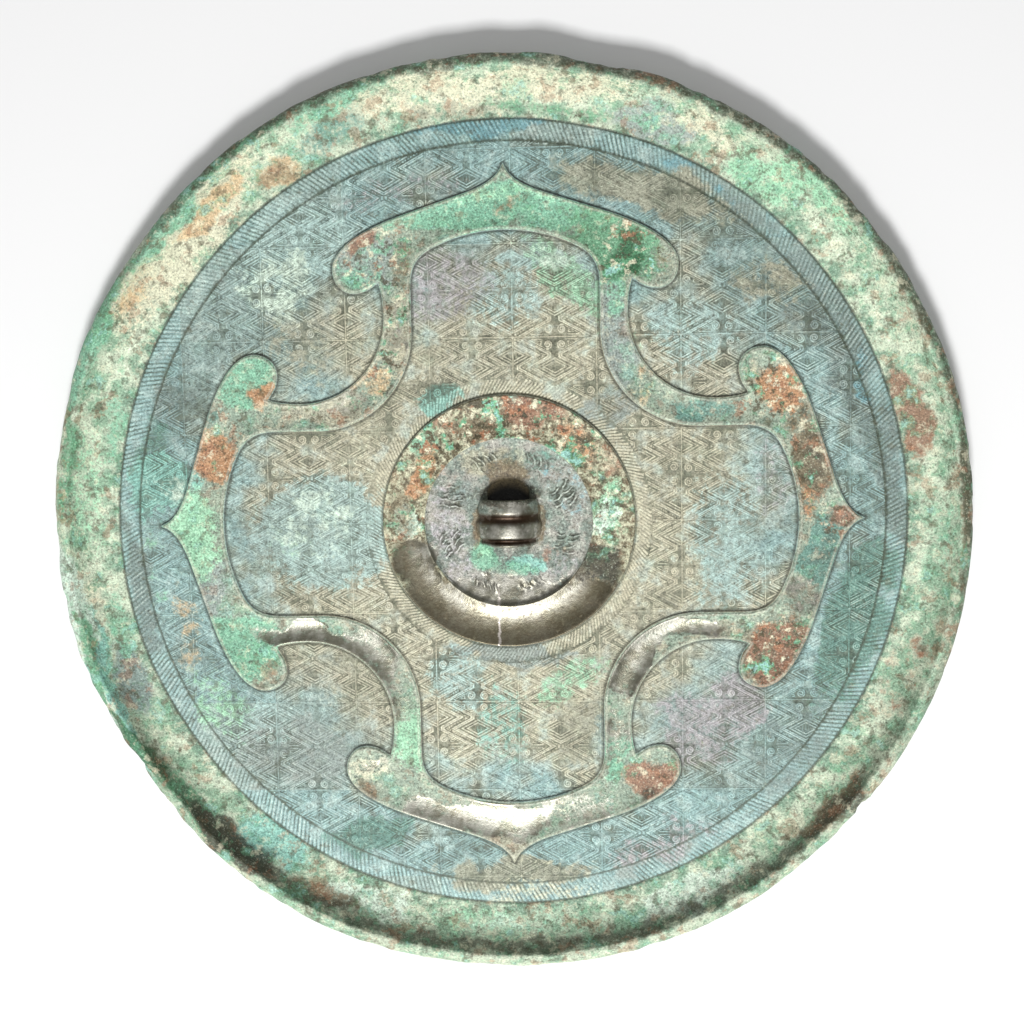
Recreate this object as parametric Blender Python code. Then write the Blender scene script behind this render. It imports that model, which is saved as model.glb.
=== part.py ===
"""Ancient bronze mirror, lying on its plain face with the decorated back up.

One casting: a thin disc with a rolled rim, a hollowed ring round a flat
middle, a quatrefoil of one hollowed band, and a three-ridged bridge knob for
the cord. The knob is parted from the disc at its feet, so that the cord's way
under it stays open. Units are metres and +Z is up. The origin is the middle
of the flat face, and the quatrefoil's heads point along +X, +Y, -X and -Y.
"""
import math

import bmesh
import bpy
from mathutils import Vector
from mathutils.geometry import delaunay_2d_cdt, interpolate_bezier

# Disc and rim
MIRROR_DIAMETER = 0.1805
FACE_INSET = 0.0034
RIM_HEIGHT = 0.0082
WIDEST_HEIGHT = 0.0062
LIP_WIDTH = 0.0028
BORDER_WIDTH = 0.0087
PLATE_THICKNESS = 0.0021

# Fine bands round the field, each sunk a little below it
OUTER_HATCH_WIDTH = 0.0042
INNER_HATCH_WIDTH = 0.0033
HATCH_SINK = 0.0002

# Hollowed ring round the middle
RING_OUTER_DIAMETER = 0.0501
RING_WIDTH = 0.0082
RING_EDGE_HEIGHT = 0.0009
RING_HOLLOW = 0.0008

# Quatrefoil, whose outline is drawn in shares of its reach
QUATREFOIL_RIM_GAP = 0.0044
BAND_EDGE_HEIGHT = 0.0010
BAND_HOLLOW = 0.0008

# Bridge knob and the cord's way through it
CORD_HOLE_SPAN = 0.0086
CORD_HOLE_RISE = 0.0041
KNOB_FOOT_WALL = 0.0021
KNOB_CROWN = 0.0013
KNOB_WIDTH = 0.0088
KNOB_END_TAPER = 0.0009
RIDGE_HEIGHT = 0.0006
KNOB_SEAT_GAP = 0.0003
TROUGH_FLOOR = 0.0012
TROUGH_LENGTH = 0.0184
TROUGH_RAMP = 0.0010

# How the old rim is out of round: angle and half width in degrees, and change in radius
RIM_CHANGES = (
    (78, 10, -0.0006),
    (120, 18, 0.0003),
    (156, 12, 0.0004),
    (213, 17, -0.0012),
    (246, 18, 0.0004),
    (316, 16, -0.0004),
)
NICK_ANGLE = 320.5
NICK_WIDTH = 0.0044
NICK_DEPTH = 0.0013

# Fineness of the facets
TURN_STEPS = 112
CURVE_STEPS = 7
BAND_GRID = 0.0030
HOLLOW_POWER = 2.4
BORDER_POWER = 1.8
OVERLAP = 0.0010

BRONZE_COLOUR = (0.36, 0.40, 0.30, 1.0)
BRONZE_ROUGHNESS = 0.55
BRONZE_METALLIC = 0.6


def clear_scene():
    for obj in list(bpy.data.objects):
        bpy.data.objects.remove(obj, do_unlink=True)


def patinated_bronze():
    material = bpy.data.materials.new("patinated_bronze")
    material.use_nodes = True
    shader = material.node_tree.nodes["Principled BSDF"]
    shader.inputs["Base Color"].default_value = BRONZE_COLOUR
    shader.inputs["Roughness"].default_value = BRONZE_ROUGHNESS
    shader.inputs["Metallic"].default_value = BRONZE_METALLIC
    return material


def add_object(name, mesh_builder):
    """Turn a finished bmesh into a named object with its faces pointing out."""
    bmesh.ops.recalc_face_normals(mesh_builder, faces=mesh_builder.faces)
    mesh = bpy.data.meshes.new(name)
    mesh_builder.to_mesh(mesh)
    mesh_builder.free()
    obj = bpy.data.objects.new(name, mesh)
    bpy.context.collection.objects.link(obj)
    return obj


def hollow(share):
    """Share of a band's hollow at a place across it: 0 on both edges, 1 in the middle."""
    return 1 - abs(2 * share - 1) ** HOLLOW_POWER


def disc_radii():
    """Radii where the disc's profile changes, from the rim inwards."""
    rim = MIRROR_DIAMETER / 2
    crest = rim - LIP_WIDTH
    border = crest - BORDER_WIDTH
    field = border - OUTER_HATCH_WIDTH
    ring = RING_OUTER_DIAMETER / 2
    return rim, crest, border, field, ring


def disc_profile():
    """Half section as (radius, height), from the axis below, round the rim, to the axis on top."""
    rim, crest, border, field, ring = disc_radii()
    sunk = PLATE_THICKNESS - HATCH_SINK
    points = [(0, 0), (rim - FACE_INSET, 0), (rim - 0.35 * FACE_INSET, 0.45 * WIDEST_HEIGHT)]
    lip_steps = 4
    for step in range(lip_steps + 1):
        turn = math.pi / 2 * step / lip_steps
        lift = (RIM_HEIGHT - WIDEST_HEIGHT) * math.sin(turn)
        points.append((crest + LIP_WIDTH * math.cos(turn), WIDEST_HEIGHT + lift))
    border_steps = 6
    for step in range(1, border_steps + 1):
        share = 1 - step / border_steps
        rise = (RIM_HEIGHT - sunk) * share ** BORDER_POWER
        points.append((border + BORDER_WIDTH * share, sunk + rise))
    points.append((field, sunk))
    points.append((field - HATCH_SINK, PLATE_THICKNESS))
    points.append((ring + INNER_HATCH_WIDTH + HATCH_SINK, PLATE_THICKNESS))
    points.append((ring + INNER_HATCH_WIDTH, sunk))
    points.append((ring + HATCH_SINK, sunk))
    edge = PLATE_THICKNESS + RING_EDGE_HEIGHT
    for share in (0, 0.1, 0.28, 0.5, 0.72, 0.9, 1):
        points.append((ring - RING_WIDTH * share, edge - RING_HOLLOW * hollow(share)))
    points.append((ring - RING_WIDTH - HATCH_SINK, PLATE_THICKNESS))
    points.append((0, PLATE_THICKNESS))
    return points


def rim_change(angle):
    """Change in the rim's radius at an angle in degrees."""
    total = 0
    for centre, half_width, change in RIM_CHANGES:
        away = abs((angle - centre + 180) % 360 - 180) / half_width
        if away < 1:
            total += change * (0.5 + 0.5 * math.cos(math.pi * away))
    return total


def make_disc():
    """Turn the profile round the axis, then let the rim lose its roundness."""
    mesh = bmesh.new()
    profile = [mesh.verts.new((radius, 0, height)) for radius, height in disc_profile()]
    edges = [mesh.edges.new(pair) for pair in zip(profile, profile[1:])]
    bmesh.ops.spin(
        mesh, geom=profile + edges, axis=(0, 0, 1), cent=(0, 0, 0),
        angle=2 * math.pi, steps=TURN_STEPS, use_merge=True)
    bmesh.ops.remove_doubles(mesh, verts=mesh.verts, dist=1e-6)
    rim, crest, border, field, ring = disc_radii()
    for vert in mesh.verts:
        radius = math.hypot(vert.co.x, vert.co.y)
        share = (radius - field) / (rim - field)
        if share > 0.01:
            angle = math.degrees(math.atan2(vert.co.y, vert.co.x))
            scale = 1 + rim_change(angle) * min(share, 1) / radius
            vert.co.x *= scale
            vert.co.y *= scale
    return add_object("disc", mesh)


def bezier(start, start_handle, end_handle, end, steps=CURVE_STEPS):
    """Points of one smooth stretch of outline, without its last point."""
    flat = [Vector((x, y)) for x, y in (start, start_handle, end_handle, end)]
    return [tuple(point) for point in interpolate_bezier(*flat, steps + 1)][:-1]


def arc(centre, radius, start_degrees, end_degrees, steps=CURVE_STEPS):
    """Points of one round stretch of outline, with its last point."""
    points = []
    for step in range(steps + 1):
        turn = math.radians(start_degrees + (end_degrees - start_degrees) * step / steps)
        points.append((centre[0] + radius * math.cos(turn), centre[1] + radius * math.sin(turn)))
    return points


def outer_eighth():
    """Outer outline from the +Y tip, round the head's lobe, to the diagonal, for a reach of 70."""
    points = bezier((0, 70), (0.5, 67.4), (3.6, 65.5), (8, 64.1), 5)
    points += bezier((8, 64.1), (12, 62.8), (16, 61.5), (20, 60.2), 3)
    points += bezier((20, 60.2), (27, 57.9), (33.7, 54.4), (33.7, 50.1))
    points += bezier((33.7, 50.1), (33.7, 47.5), (31.9, 45.6), (29.8, 45.6), 4)
    points += bezier((29.8, 45.6), (27.9, 45.6), (26.2, 46.4), (24.9, 47.8), 3)
    points += bezier((24.9, 47.8), (24.2, 46.2), (23.85, 44.0), (23.8, 41.0), 3)
    return points + arc((41, 41), 17.2, 180, 225)


def inner_eighth():
    """Inner outline from the head's middle, round its corner, to the diagonal, for a reach of 70."""
    points = arc((0, 25.4), 32, 90, 63, 5)
    points += bezier(points[-1], (17.3, 52.4), (18.7, 50.3), (18.7, 46.5), 4)[1:]
    points += bezier((18.7, 46.5), (18.7, 43), (18.7, 41), (18.7, 37.8), 3)
    return points + arc((37.8, 37.8), 19.1, 180, 225)


def whole_loop(eighth):
    """Mirror an eighth over the diagonal, then repeat the quarter round the axis."""
    rim, crest, border, field, ring = disc_radii()
    scale = (field - QUATREFOIL_RIM_GAP) / 70
    quarter = eighth + [(y, x) for x, y in reversed(eighth[1:-1])]
    loop = []
    for turn in range(4):
        for x, y in quarter:
            for quarter_turn in range(turn):
                x, y = y, -x
            loop.append((x * scale, y * scale))
    return loop


def loop_distance(point, loop):
    """Shortest way from a point to a closed outline."""
    shortest = math.inf
    for start, end in zip(loop, loop[1:] + loop[:1]):
        run = (end[0] - start[0], end[1] - start[1])
        way = (point[0] - start[0], point[1] - start[1])
        share = (way[0] * run[0] + way[1] * run[1]) / (run[0] ** 2 + run[1] ** 2)
        share = min(max(share, 0), 1)
        gap = math.hypot(way[0] - share * run[0], way[1] - share * run[1])
        shortest = min(shortest, gap)
    return shortest


def inside(point, loop):
    """Whether a point lies inside a closed outline."""
    crossings = 0
    for start, end in zip(loop, loop[1:] + loop[:1]):
        if (start[1] > point[1]) != (end[1] > point[1]):
            share = (point[1] - start[1]) / (end[1] - start[1])
            crossings += point[0] < start[0] + share * (end[0] - start[0])
    return crossings % 2 == 1


def make_quatrefoil():
    """The band as a closed solid, hollowed between its two edges and rooted in the plate."""
    outer = whole_loop(outer_eighth())
    inner = whole_loop(inner_eighth())
    points = outer + inner
    edges = [(i, (i + 1) % len(outer)) for i in range(len(outer))]
    edges += [(len(outer) + i, len(outer) + (i + 1) % len(inner)) for i in range(len(inner))]
    reach = max(y for x, y in outer)
    rows = int(reach / (BAND_GRID * 0.866))
    for row in range(-rows, rows + 1):
        columns = int(reach / BAND_GRID)
        for column in range(-columns, columns + 1):
            spot = (BAND_GRID * (column + 0.5 * (row % 2)), BAND_GRID * 0.866 * row)
            if inside(spot, outer) and not inside(spot, inner):
                if min(loop_distance(spot, outer), loop_distance(spot, inner)) > 0.4 * BAND_GRID:
                    points.append(spot)
    flat = [Vector(point) for point in points]
    places, _, faces, _, _, _ = delaunay_2d_cdt(flat, edges, [], 0, 1e-7)

    edge_height = PLATE_THICKNESS + BAND_EDGE_HEIGHT
    mesh = bmesh.new()
    tops, feet = [], []
    for place in places:
        to_outer = loop_distance(place, outer)
        to_inner = loop_distance(place, inner)
        height = edge_height - BAND_HOLLOW * hollow(to_inner / (to_inner + to_outer))
        tops.append(mesh.verts.new((place.x, place.y, height)))
        feet.append(mesh.verts.new((place.x, place.y, PLATE_THICKNESS - OVERLAP)))
    for face in faces:
        middle = sum((places[i] for i in face), Vector((0, 0))) / len(face)
        if inside(middle, outer) and not inside(middle, inner):
            mesh.faces.new([tops[i] for i in face])
            mesh.faces.new([feet[i] for i in reversed(face)])
    for edge in [edge for edge in mesh.edges if edge.is_boundary]:
        first, second = edge.verts
        if first in tops and second in tops:
            twins = feet[tops.index(first)], feet[tops.index(second)]
            mesh.faces.new((second, first, twins[0], twins[1]))
    loose = [vert for vert in mesh.verts if not vert.link_faces]
    bmesh.ops.delete(mesh, geom=loose, context="VERTS")
    return add_object("quatrefoil_band", mesh)


def ridge_lift(place):
    """Height of the knob's string ridges over the channels, at a place from -1 to 1 across it."""
    return RIDGE_HEIGHT * abs(math.cos(math.pi * place)) ** 1.5


def make_knob():
    """The knob without its hole: an arch along X, swept across its width with three ridges."""
    across = [-1.04, -1, -0.9, -0.72, -0.5, -0.28, -0.1, 0, 0.1, 0.28, 0.5, 0.72, 0.9, 1, 1.04]
    end_drop = 0.0004
    arch_steps = 16
    seat = PLATE_THICKNESS + KNOB_SEAT_GAP
    mesh = bmesh.new()
    rows = []
    for place in across:
        taper = KNOB_END_TAPER * min(place * place, 1)
        drop = RIDGE_HEIGHT - ridge_lift(min(abs(place), 1)) + (end_drop if abs(place) > 1 else 0)
        half_span = CORD_HOLE_SPAN / 2 + KNOB_FOOT_WALL - taper - 0.5 * drop
        crown = PLATE_THICKNESS + CORD_HOLE_RISE + KNOB_CROWN + RIDGE_HEIGHT - 0.5 * taper - drop
        row = []
        for step in range(arch_steps + 1):
            turn = math.pi * (1 - step / arch_steps)
            height = seat + (crown - seat) * math.sin(turn)
            row.append(mesh.verts.new((half_span * math.cos(turn), place * KNOB_WIDTH / 2, height)))
        rows.append(row)
    for row, following in zip(rows, rows[1:]):
        for i in range(len(row)):
            j = (i + 1) % len(row)
            mesh.faces.new((row[i], row[j], following[j], following[i]))
    mesh.faces.new(rows[0])
    mesh.faces.new(rows[-1][::-1])
    return add_object("knob", mesh)


def make_cord_way():
    """Cutter for the hole under the arch and the trough that leads the cord in from both sides."""
    arch_steps = 12
    half_span = CORD_HOLE_SPAN / 2
    section = [(-half_span, TROUGH_FLOOR, 1)]
    for step in range(arch_steps + 1):
        turn = math.pi * (1 - step / arch_steps)
        height = PLATE_THICKNESS + CORD_HOLE_RISE * math.sin(turn)
        section.append((half_span * math.cos(turn), height, 0))
    section.append((half_span, TROUGH_FLOOR, 1))
    mesh = bmesh.new()
    ends = []
    for side in (-1, 1):
        row = []
        for x, z, low in section:
            y = side * (TROUGH_LENGTH / 2 + (0 if low else TROUGH_RAMP))
            row.append(mesh.verts.new((x, y, z)))
        ends.append(row)
    for i in range(len(section)):
        j = (i + 1) % len(section)
        mesh.faces.new((ends[0][i], ends[0][j], ends[1][j], ends[1][i]))
    mesh.faces.new(ends[0])
    mesh.faces.new(ends[1][::-1])
    return add_object("cord_way", mesh)


def make_nick():
    """Cutter for the chip in the rim: a wedge whose point reaches in from outside."""
    turn = math.radians(NICK_ANGLE)
    rim = MIRROR_DIAMETER / 2 + rim_change(NICK_ANGLE)
    outside = 2 * NICK_DEPTH
    corners = (
        (rim - NICK_DEPTH, 0),
        (rim + outside, NICK_WIDTH * 1.5),
        (rim + outside, -NICK_WIDTH * 1.5),
    )
    mesh = bmesh.new()
    low, high = [], []
    for along, aside in corners:
        x = along * math.cos(turn) - aside * math.sin(turn)
        y = along * math.sin(turn) + aside * math.cos(turn)
        low.append(mesh.verts.new((x, y, -OVERLAP)))
        high.append(mesh.verts.new((x, y, RIM_HEIGHT + OVERLAP)))
    for i in range(3):
        j = (i + 1) % 3
        mesh.faces.new((low[i], low[j], high[j], high[i]))
    mesh.faces.new(low)
    mesh.faces.new(high)
    return add_object("rim_nick", mesh)


def combine(body, other, operation):
    """Join or cut another shape into the body with a live Boolean, and hide that shape."""
    modifier = body.modifiers.new(other.name, "BOOLEAN")
    modifier.object = other
    modifier.operation = operation
    modifier.solver = "EXACT"
    other.hide_render = True
    other.display_type = "WIRE"


def finish(obj, material):
    """Give a casting its material and smooth shading with its true edges kept sharp."""
    obj.data.materials.append(material)
    obj.data.shade_smooth()
    obj.data.set_sharp_from_angle(angle=math.radians(35))


def main():
    clear_scene()
    disc = make_disc()
    knob = make_knob()
    cord_way = make_cord_way()
    combine(disc, make_quatrefoil(), "UNION")
    combine(disc, cord_way, "DIFFERENCE")
    combine(disc, make_nick(), "DIFFERENCE")
    combine(knob, cord_way, "DIFFERENCE")
    material = patinated_bronze()
    finish(disc, material)
    finish(knob, material)


main()
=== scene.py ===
"""Looks of the ancient bronze mirror: its cast relief, wear and patina, lying back up."""

import math

import bpy
import numpy as np
from mathutils import Matrix, Vector
from mathutils.geometry import delaunay_2d_cdt, interpolate_bezier


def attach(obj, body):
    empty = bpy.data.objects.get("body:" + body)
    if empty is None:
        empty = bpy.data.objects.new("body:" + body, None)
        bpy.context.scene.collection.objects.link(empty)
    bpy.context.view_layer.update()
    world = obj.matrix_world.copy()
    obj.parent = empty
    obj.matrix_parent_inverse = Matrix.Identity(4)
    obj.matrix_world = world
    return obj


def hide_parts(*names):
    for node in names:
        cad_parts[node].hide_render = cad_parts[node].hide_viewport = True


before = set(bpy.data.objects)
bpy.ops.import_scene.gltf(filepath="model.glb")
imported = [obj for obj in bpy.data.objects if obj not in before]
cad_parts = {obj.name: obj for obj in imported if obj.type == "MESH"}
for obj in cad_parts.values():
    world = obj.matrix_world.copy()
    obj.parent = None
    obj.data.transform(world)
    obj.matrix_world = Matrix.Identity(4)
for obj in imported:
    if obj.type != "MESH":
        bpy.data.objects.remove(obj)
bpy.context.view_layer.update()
bpy.ops.object.select_all(action="DESELECT")

# Sizes in millimetres, as in the solids
RIM = 90.25
CREST = 87.45
BORDER = 78.75
FIELD = 74.55
HATCH_IN = 28.35
RING = 25.05
RING_IN = 16.85
RIM_HEIGHT = 8.2
WIDEST_HEIGHT = 6.2
PLATE = 2.1
SUNK = 1.9
BAND_RISE = 1.0
BAND_HOLLOW = 0.8
RING_RISE = 0.9
RING_HOLLOW = 0.8
TROUGH_FLOOR = 1.2
TROUGH_HALF_LENGTH = 9.2
TROUGH_RAMP = 1.0
HOLE_HALF_SPAN = 4.3
HOLE_RISE = 4.1
FOOT_WALL = 2.1
CROWN = 1.3
KNOB_HALF_WIDTH = 4.4
STRING_HEIGHT = 0.6

# Where the rim is out of round: angle and half width in degrees, change of the radius
RIM_CHANGES = (
    (52, 10, 0.3), (78, 8, -0.65), (120, 16, 0.35), (156, 12, 0.45),
    (213, 17, -1.1), (246, 18, 0.5), (316, 16, -0.4),
)

# Stamps of the ground pattern
STAMP_WIDTH = 16.5
STAMP_HEIGHT = 18.25
STAMP_LEFT = 1.35
BEND_OUT = 6.25
LINE_HEIGHT = 0.24

# Above this height lies the decorated side
DECORATED = 1.5

# How far the edges of the band and the ring round off
EDGE_DROP = 0.12


def cloud(across, along, size, seed):
    """Smooth seeded noise from -1 to 1, with features of a given size."""
    table = np.random.default_rng(seed).uniform(-1, 1, (64, 64))
    u = np.asarray(across) / size + 31.7
    v = np.asarray(along) / size + 17.3
    i = np.floor(u).astype(int)
    j = np.floor(v).astype(int)
    p = u - i
    q = v - j
    p = p * p * (3 - 2 * p)
    q = q * q * (3 - 2 * q)
    low = table[i % 64, j % 64] * (1 - p) + table[(i + 1) % 64, j % 64] * p
    high = table[i % 64, (j + 1) % 64] * (1 - p) + table[(i + 1) % 64, (j + 1) % 64] * p
    return low * (1 - q) + high * q


def curve_points(start, start_handle, end_handle, end, steps):
    """Points along a curve with two handles, without its end."""
    flat = [Vector(point) for point in (start, start_handle, end_handle, end)]
    return [tuple(point) for point in interpolate_bezier(*flat, steps + 1)][:-1]


def arc_points(centre, radius, start, end, steps):
    """Points along an arc between two angles in degrees."""
    turns = np.radians(np.linspace(start, end, steps + 1))
    return [(centre[0] + radius * math.cos(t), centre[1] + radius * math.sin(t)) for t in turns]


def quatrefoil_loop(eighth):
    """Mirror an eighth over the diagonal and repeat it round the middle."""
    scale = (FIELD - 4.4) / 70
    quarter = eighth + [(y, x) for x, y in reversed(eighth[1:-1])]
    loop = []
    for turn in range(4):
        for x, y in quarter:
            for quarter_turn in range(turn):
                x, y = y, -x
            loop.append((x * scale, y * scale))
    return np.array(loop)


def outer_outline():
    """Outer edge of the quatrefoil band: tip, flank, curl and notch of one eighth."""
    points = curve_points((0, 70), (0.5, 67.4), (3.6, 65.5), (8, 64.1), 12)
    points += curve_points((8, 64.1), (12, 62.8), (16, 61.5), (20, 60.2), 8)
    points += curve_points((20, 60.2), (27, 57.9), (33.7, 54.4), (33.7, 50.1), 18)
    points += curve_points((33.7, 50.1), (33.7, 47.5), (31.9, 45.6), (29.8, 45.6), 9)
    points += curve_points((29.8, 45.6), (27.9, 45.6), (26.2, 46.4), (24.9, 47.8), 7)
    points += curve_points((24.9, 47.8), (24.2, 46.2), (23.85, 44.0), (23.8, 41.0), 8)
    return quatrefoil_loop(points + arc_points((41, 41), 17.2, 180, 225, 14))


def inner_outline():
    """Inner edge of the quatrefoil band."""
    points = arc_points((0, 25.4), 32, 90, 63, 14)
    points += curve_points(points[-1], (17.3, 52.4), (18.7, 50.3), (18.7, 46.5), 9)[1:]
    points += curve_points((18.7, 46.5), (18.7, 43), (18.7, 41), (18.7, 37.8), 7)
    return quatrefoil_loop(points + arc_points((37.8, 37.8), 19.1, 180, 225, 14))


OUTER = outer_outline()
INNER = inner_outline()


def loop_distance(points, loop):
    """Shortest way from each point to a closed outline."""
    run = np.roll(loop, -1, 0) - loop
    length = (run ** 2).sum(1)
    shortest = np.empty(len(points))
    for start in range(0, len(points), 4000):
        part = points[start:start + 4000]
        way_x = part[:, 0:1] - loop[:, 0]
        way_y = part[:, 1:2] - loop[:, 1]
        share = np.clip((way_x * run[:, 0] + way_y * run[:, 1]) / length, 0, 1)
        gap = (way_x - share * run[:, 0]) ** 2 + (way_y - share * run[:, 1]) ** 2
        shortest[start:start + 4000] = np.sqrt(gap.min(1))
    return shortest


def inside(points, loop):
    """Whether each point lies inside a closed outline."""
    following = np.roll(loop, -1, 0)
    result = np.zeros(len(points), bool)
    for start in range(0, len(points), 4000):
        part = points[start:start + 4000]
        above = (loop[:, 1] > part[:, 1:2]) != (following[:, 1] > part[:, 1:2])
        rise = following[:, 1] - loop[:, 1]
        rise = np.where(rise == 0, 1e-9, rise)
        cross = loop[:, 0] + (part[:, 1:2] - loop[:, 1]) / rise * (following[:, 0] - loop[:, 0])
        result[start:start + 4000] = (above & (part[:, 0:1] < cross)).sum(1) % 2 == 1
    return result


def band_place(points):
    """How deep in the quatrefoil band a point lies, below 0 outside, and its share across."""
    to_outer = loop_distance(points, OUTER)
    to_inner = loop_distance(points, INNER)
    within = inside(points, OUTER) & ~inside(points, INNER)
    depth = np.minimum(to_outer, to_inner) * np.where(within, 1, -1)
    return depth, to_inner / (to_inner + to_outer)


MAP_STEP = 0.5
MAP_REACH = 76.0


def make_depth_map():
    """Depth in the band on an even grid."""
    line = np.arange(-MAP_REACH, MAP_REACH + MAP_STEP / 2, MAP_STEP)
    x, y = np.meshgrid(line, line, indexing="ij")
    return band_place(np.stack([x.ravel(), y.ravel()], 1))[0].reshape(x.shape)


DEPTH_MAP = make_depth_map()


def band_depth(points):
    """Depth in the band, read from the map far from its edges and worked out near them."""
    u = np.clip((points[:, 0] + MAP_REACH) / MAP_STEP, 0, DEPTH_MAP.shape[0] - 1.001)
    v = np.clip((points[:, 1] + MAP_REACH) / MAP_STEP, 0, DEPTH_MAP.shape[0] - 1.001)
    i = u.astype(int)
    j = v.astype(int)
    p = u - i
    q = v - j
    depth = (DEPTH_MAP[i, j] * (1 - p) * (1 - q) + DEPTH_MAP[i + 1, j] * p * (1 - q)
             + DEPTH_MAP[i, j + 1] * (1 - p) * q + DEPTH_MAP[i + 1, j + 1] * p * q)
    near = np.abs(depth) < 1.1
    if near.any():
        depth[near] = band_place(points[near])[0]
    return depth


def hollow(share):
    """Cross section of a hollowed band: 0 at its edges, 1 along its middle."""
    return 1 - np.abs(2 * share - 1) ** 2.4


def shift_loop(loop, outward):
    """Move an outline out of the band, and leave out what folds over at its corners."""
    before = loop - np.roll(loop, 1, 0)
    after = np.roll(loop, -1, 0) - loop
    before /= np.hypot(*before.T)[:, None]
    after /= np.hypot(*after.T)[:, None]
    along = before + after
    along /= np.hypot(*along.T)[:, None]
    normal = np.stack([along[:, 1], -along[:, 0]], 1)
    probe = band_place(loop + 0.05 * normal)[0]
    normal[probe > 0] *= -1
    moved = loop + outward * normal
    keep = np.abs(band_place(moved)[0]) > 0.93 * abs(outward)
    return moved[keep]


SLOPE = STAMP_HEIGHT / 2 / (4 * BEND_OUT - STAMP_WIDTH / 2)
LEAN = math.atan(SLOPE)


def zigzag_row(offset, height):
    """One line of a zigzag band, from the stamp's middle to its corner, at an offset to the left."""
    half_width = STAMP_WIDTH / 2
    half_height = STAMP_HEIGHT / 2
    bend_rise = SLOPE * BEND_OUT
    second_rise = half_height - bend_rise
    lift = offset / math.cos(LEAN)
    reach = offset / math.sin(LEAN)
    blunt = 0.62 * reach
    if offset >= 0:
        near = half_width - BEND_OUT - blunt
        level = SLOPE * (near - (half_width - BEND_OUT)) + second_rise + lift
        points = [(0, lift), (BEND_OUT - reach, bend_rise), (near, 2 * second_rise - level),
                  (near, level), (half_width - reach, half_height)]
    else:
        far = BEND_OUT - blunt
        level = SLOPE * far + lift
        points = [(-reach, 0), (far, level), (far, 2 * bend_rise - level),
                  (half_width - BEND_OUT - reach, second_rise), (half_width, half_height + lift)]
    return np.array(points), np.full(len(points), height)


def dot_row():
    """Row of dots down the middle of a zigzag band."""
    corners = np.array([
        (0, 0), (BEND_OUT, SLOPE * BEND_OUT),
        (STAMP_WIDTH / 2 - BEND_OUT, STAMP_HEIGHT / 2 - SLOPE * BEND_OUT),
        (STAMP_WIDTH / 2, STAMP_HEIGHT / 2)])
    lengths = np.hypot(*np.diff(corners, axis=0).T)
    reach = np.concatenate([[0], np.cumsum(lengths)])
    stations = np.linspace(0.55, reach[-1] - 0.55, 57)
    x = np.interp(stations, reach, corners[:, 0])
    y = np.interp(stations, reach, corners[:, 1])
    heights = np.where(np.arange(len(stations)) % 2 == 0, 0.2, 0.0)
    return np.stack([x, y], 1), heights


def ridge(points, height, half_width, closed=False):
    """Rows of one raised line: its crest and its two feet."""
    points = np.array(points, float)
    if closed:
        before = points - np.roll(points, 1, 0)
        after = np.roll(points, -1, 0) - points
    else:
        steps = np.diff(points, axis=0)
        before = np.concatenate([steps[:1], steps])
        after = np.concatenate([steps, steps[-1:]])
    first = np.stack([before[:, 1], -before[:, 0]], 1) / np.hypot(*before.T)[:, None]
    second = np.stack([after[:, 1], -after[:, 0]], 1) / np.hypot(*after.T)[:, None]
    side = (first + second) / np.maximum(1 + (first * second).sum(1), 0.35)[:, None]
    crest = np.full(len(points), height)
    if not closed:
        crest[[0, -1]] *= 0.4
    rows = [(points, crest)]
    for way in (-half_width, half_width):
        rows.append((points + way * side, np.zeros(len(points))))
    if closed:
        rows = [(np.concatenate([p, p[:1]]), np.append(h, h[0])) for p, h in rows]
    return rows


def spiral_rows(centre, turn_way, start):
    """A small spiral of two turns, wound inwards."""
    pitch = 0.42
    steps = 20
    turns = np.linspace(0, 2, steps + 1)
    radius = 0.93 - pitch * turns
    angles = start + turn_way * 2 * math.pi * turns
    crest = np.full(steps + 1, LINE_HEIGHT)
    crest[-1] = 0.1
    ray = np.stack([np.cos(angles), np.sin(angles)], 1)
    rows = [(centre + radius[:, None] * ray, crest)]
    valley = np.maximum(radius - 0.21, 0.02)
    rows.append((centre + valley[:-1, None] * ray[:-1], np.full(steps, 0.03)))
    outside = slice(0, 11)
    rows.append((centre + (radius[outside, None] + 0.19) * ray[outside], np.zeros(11)))
    return rows


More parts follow.
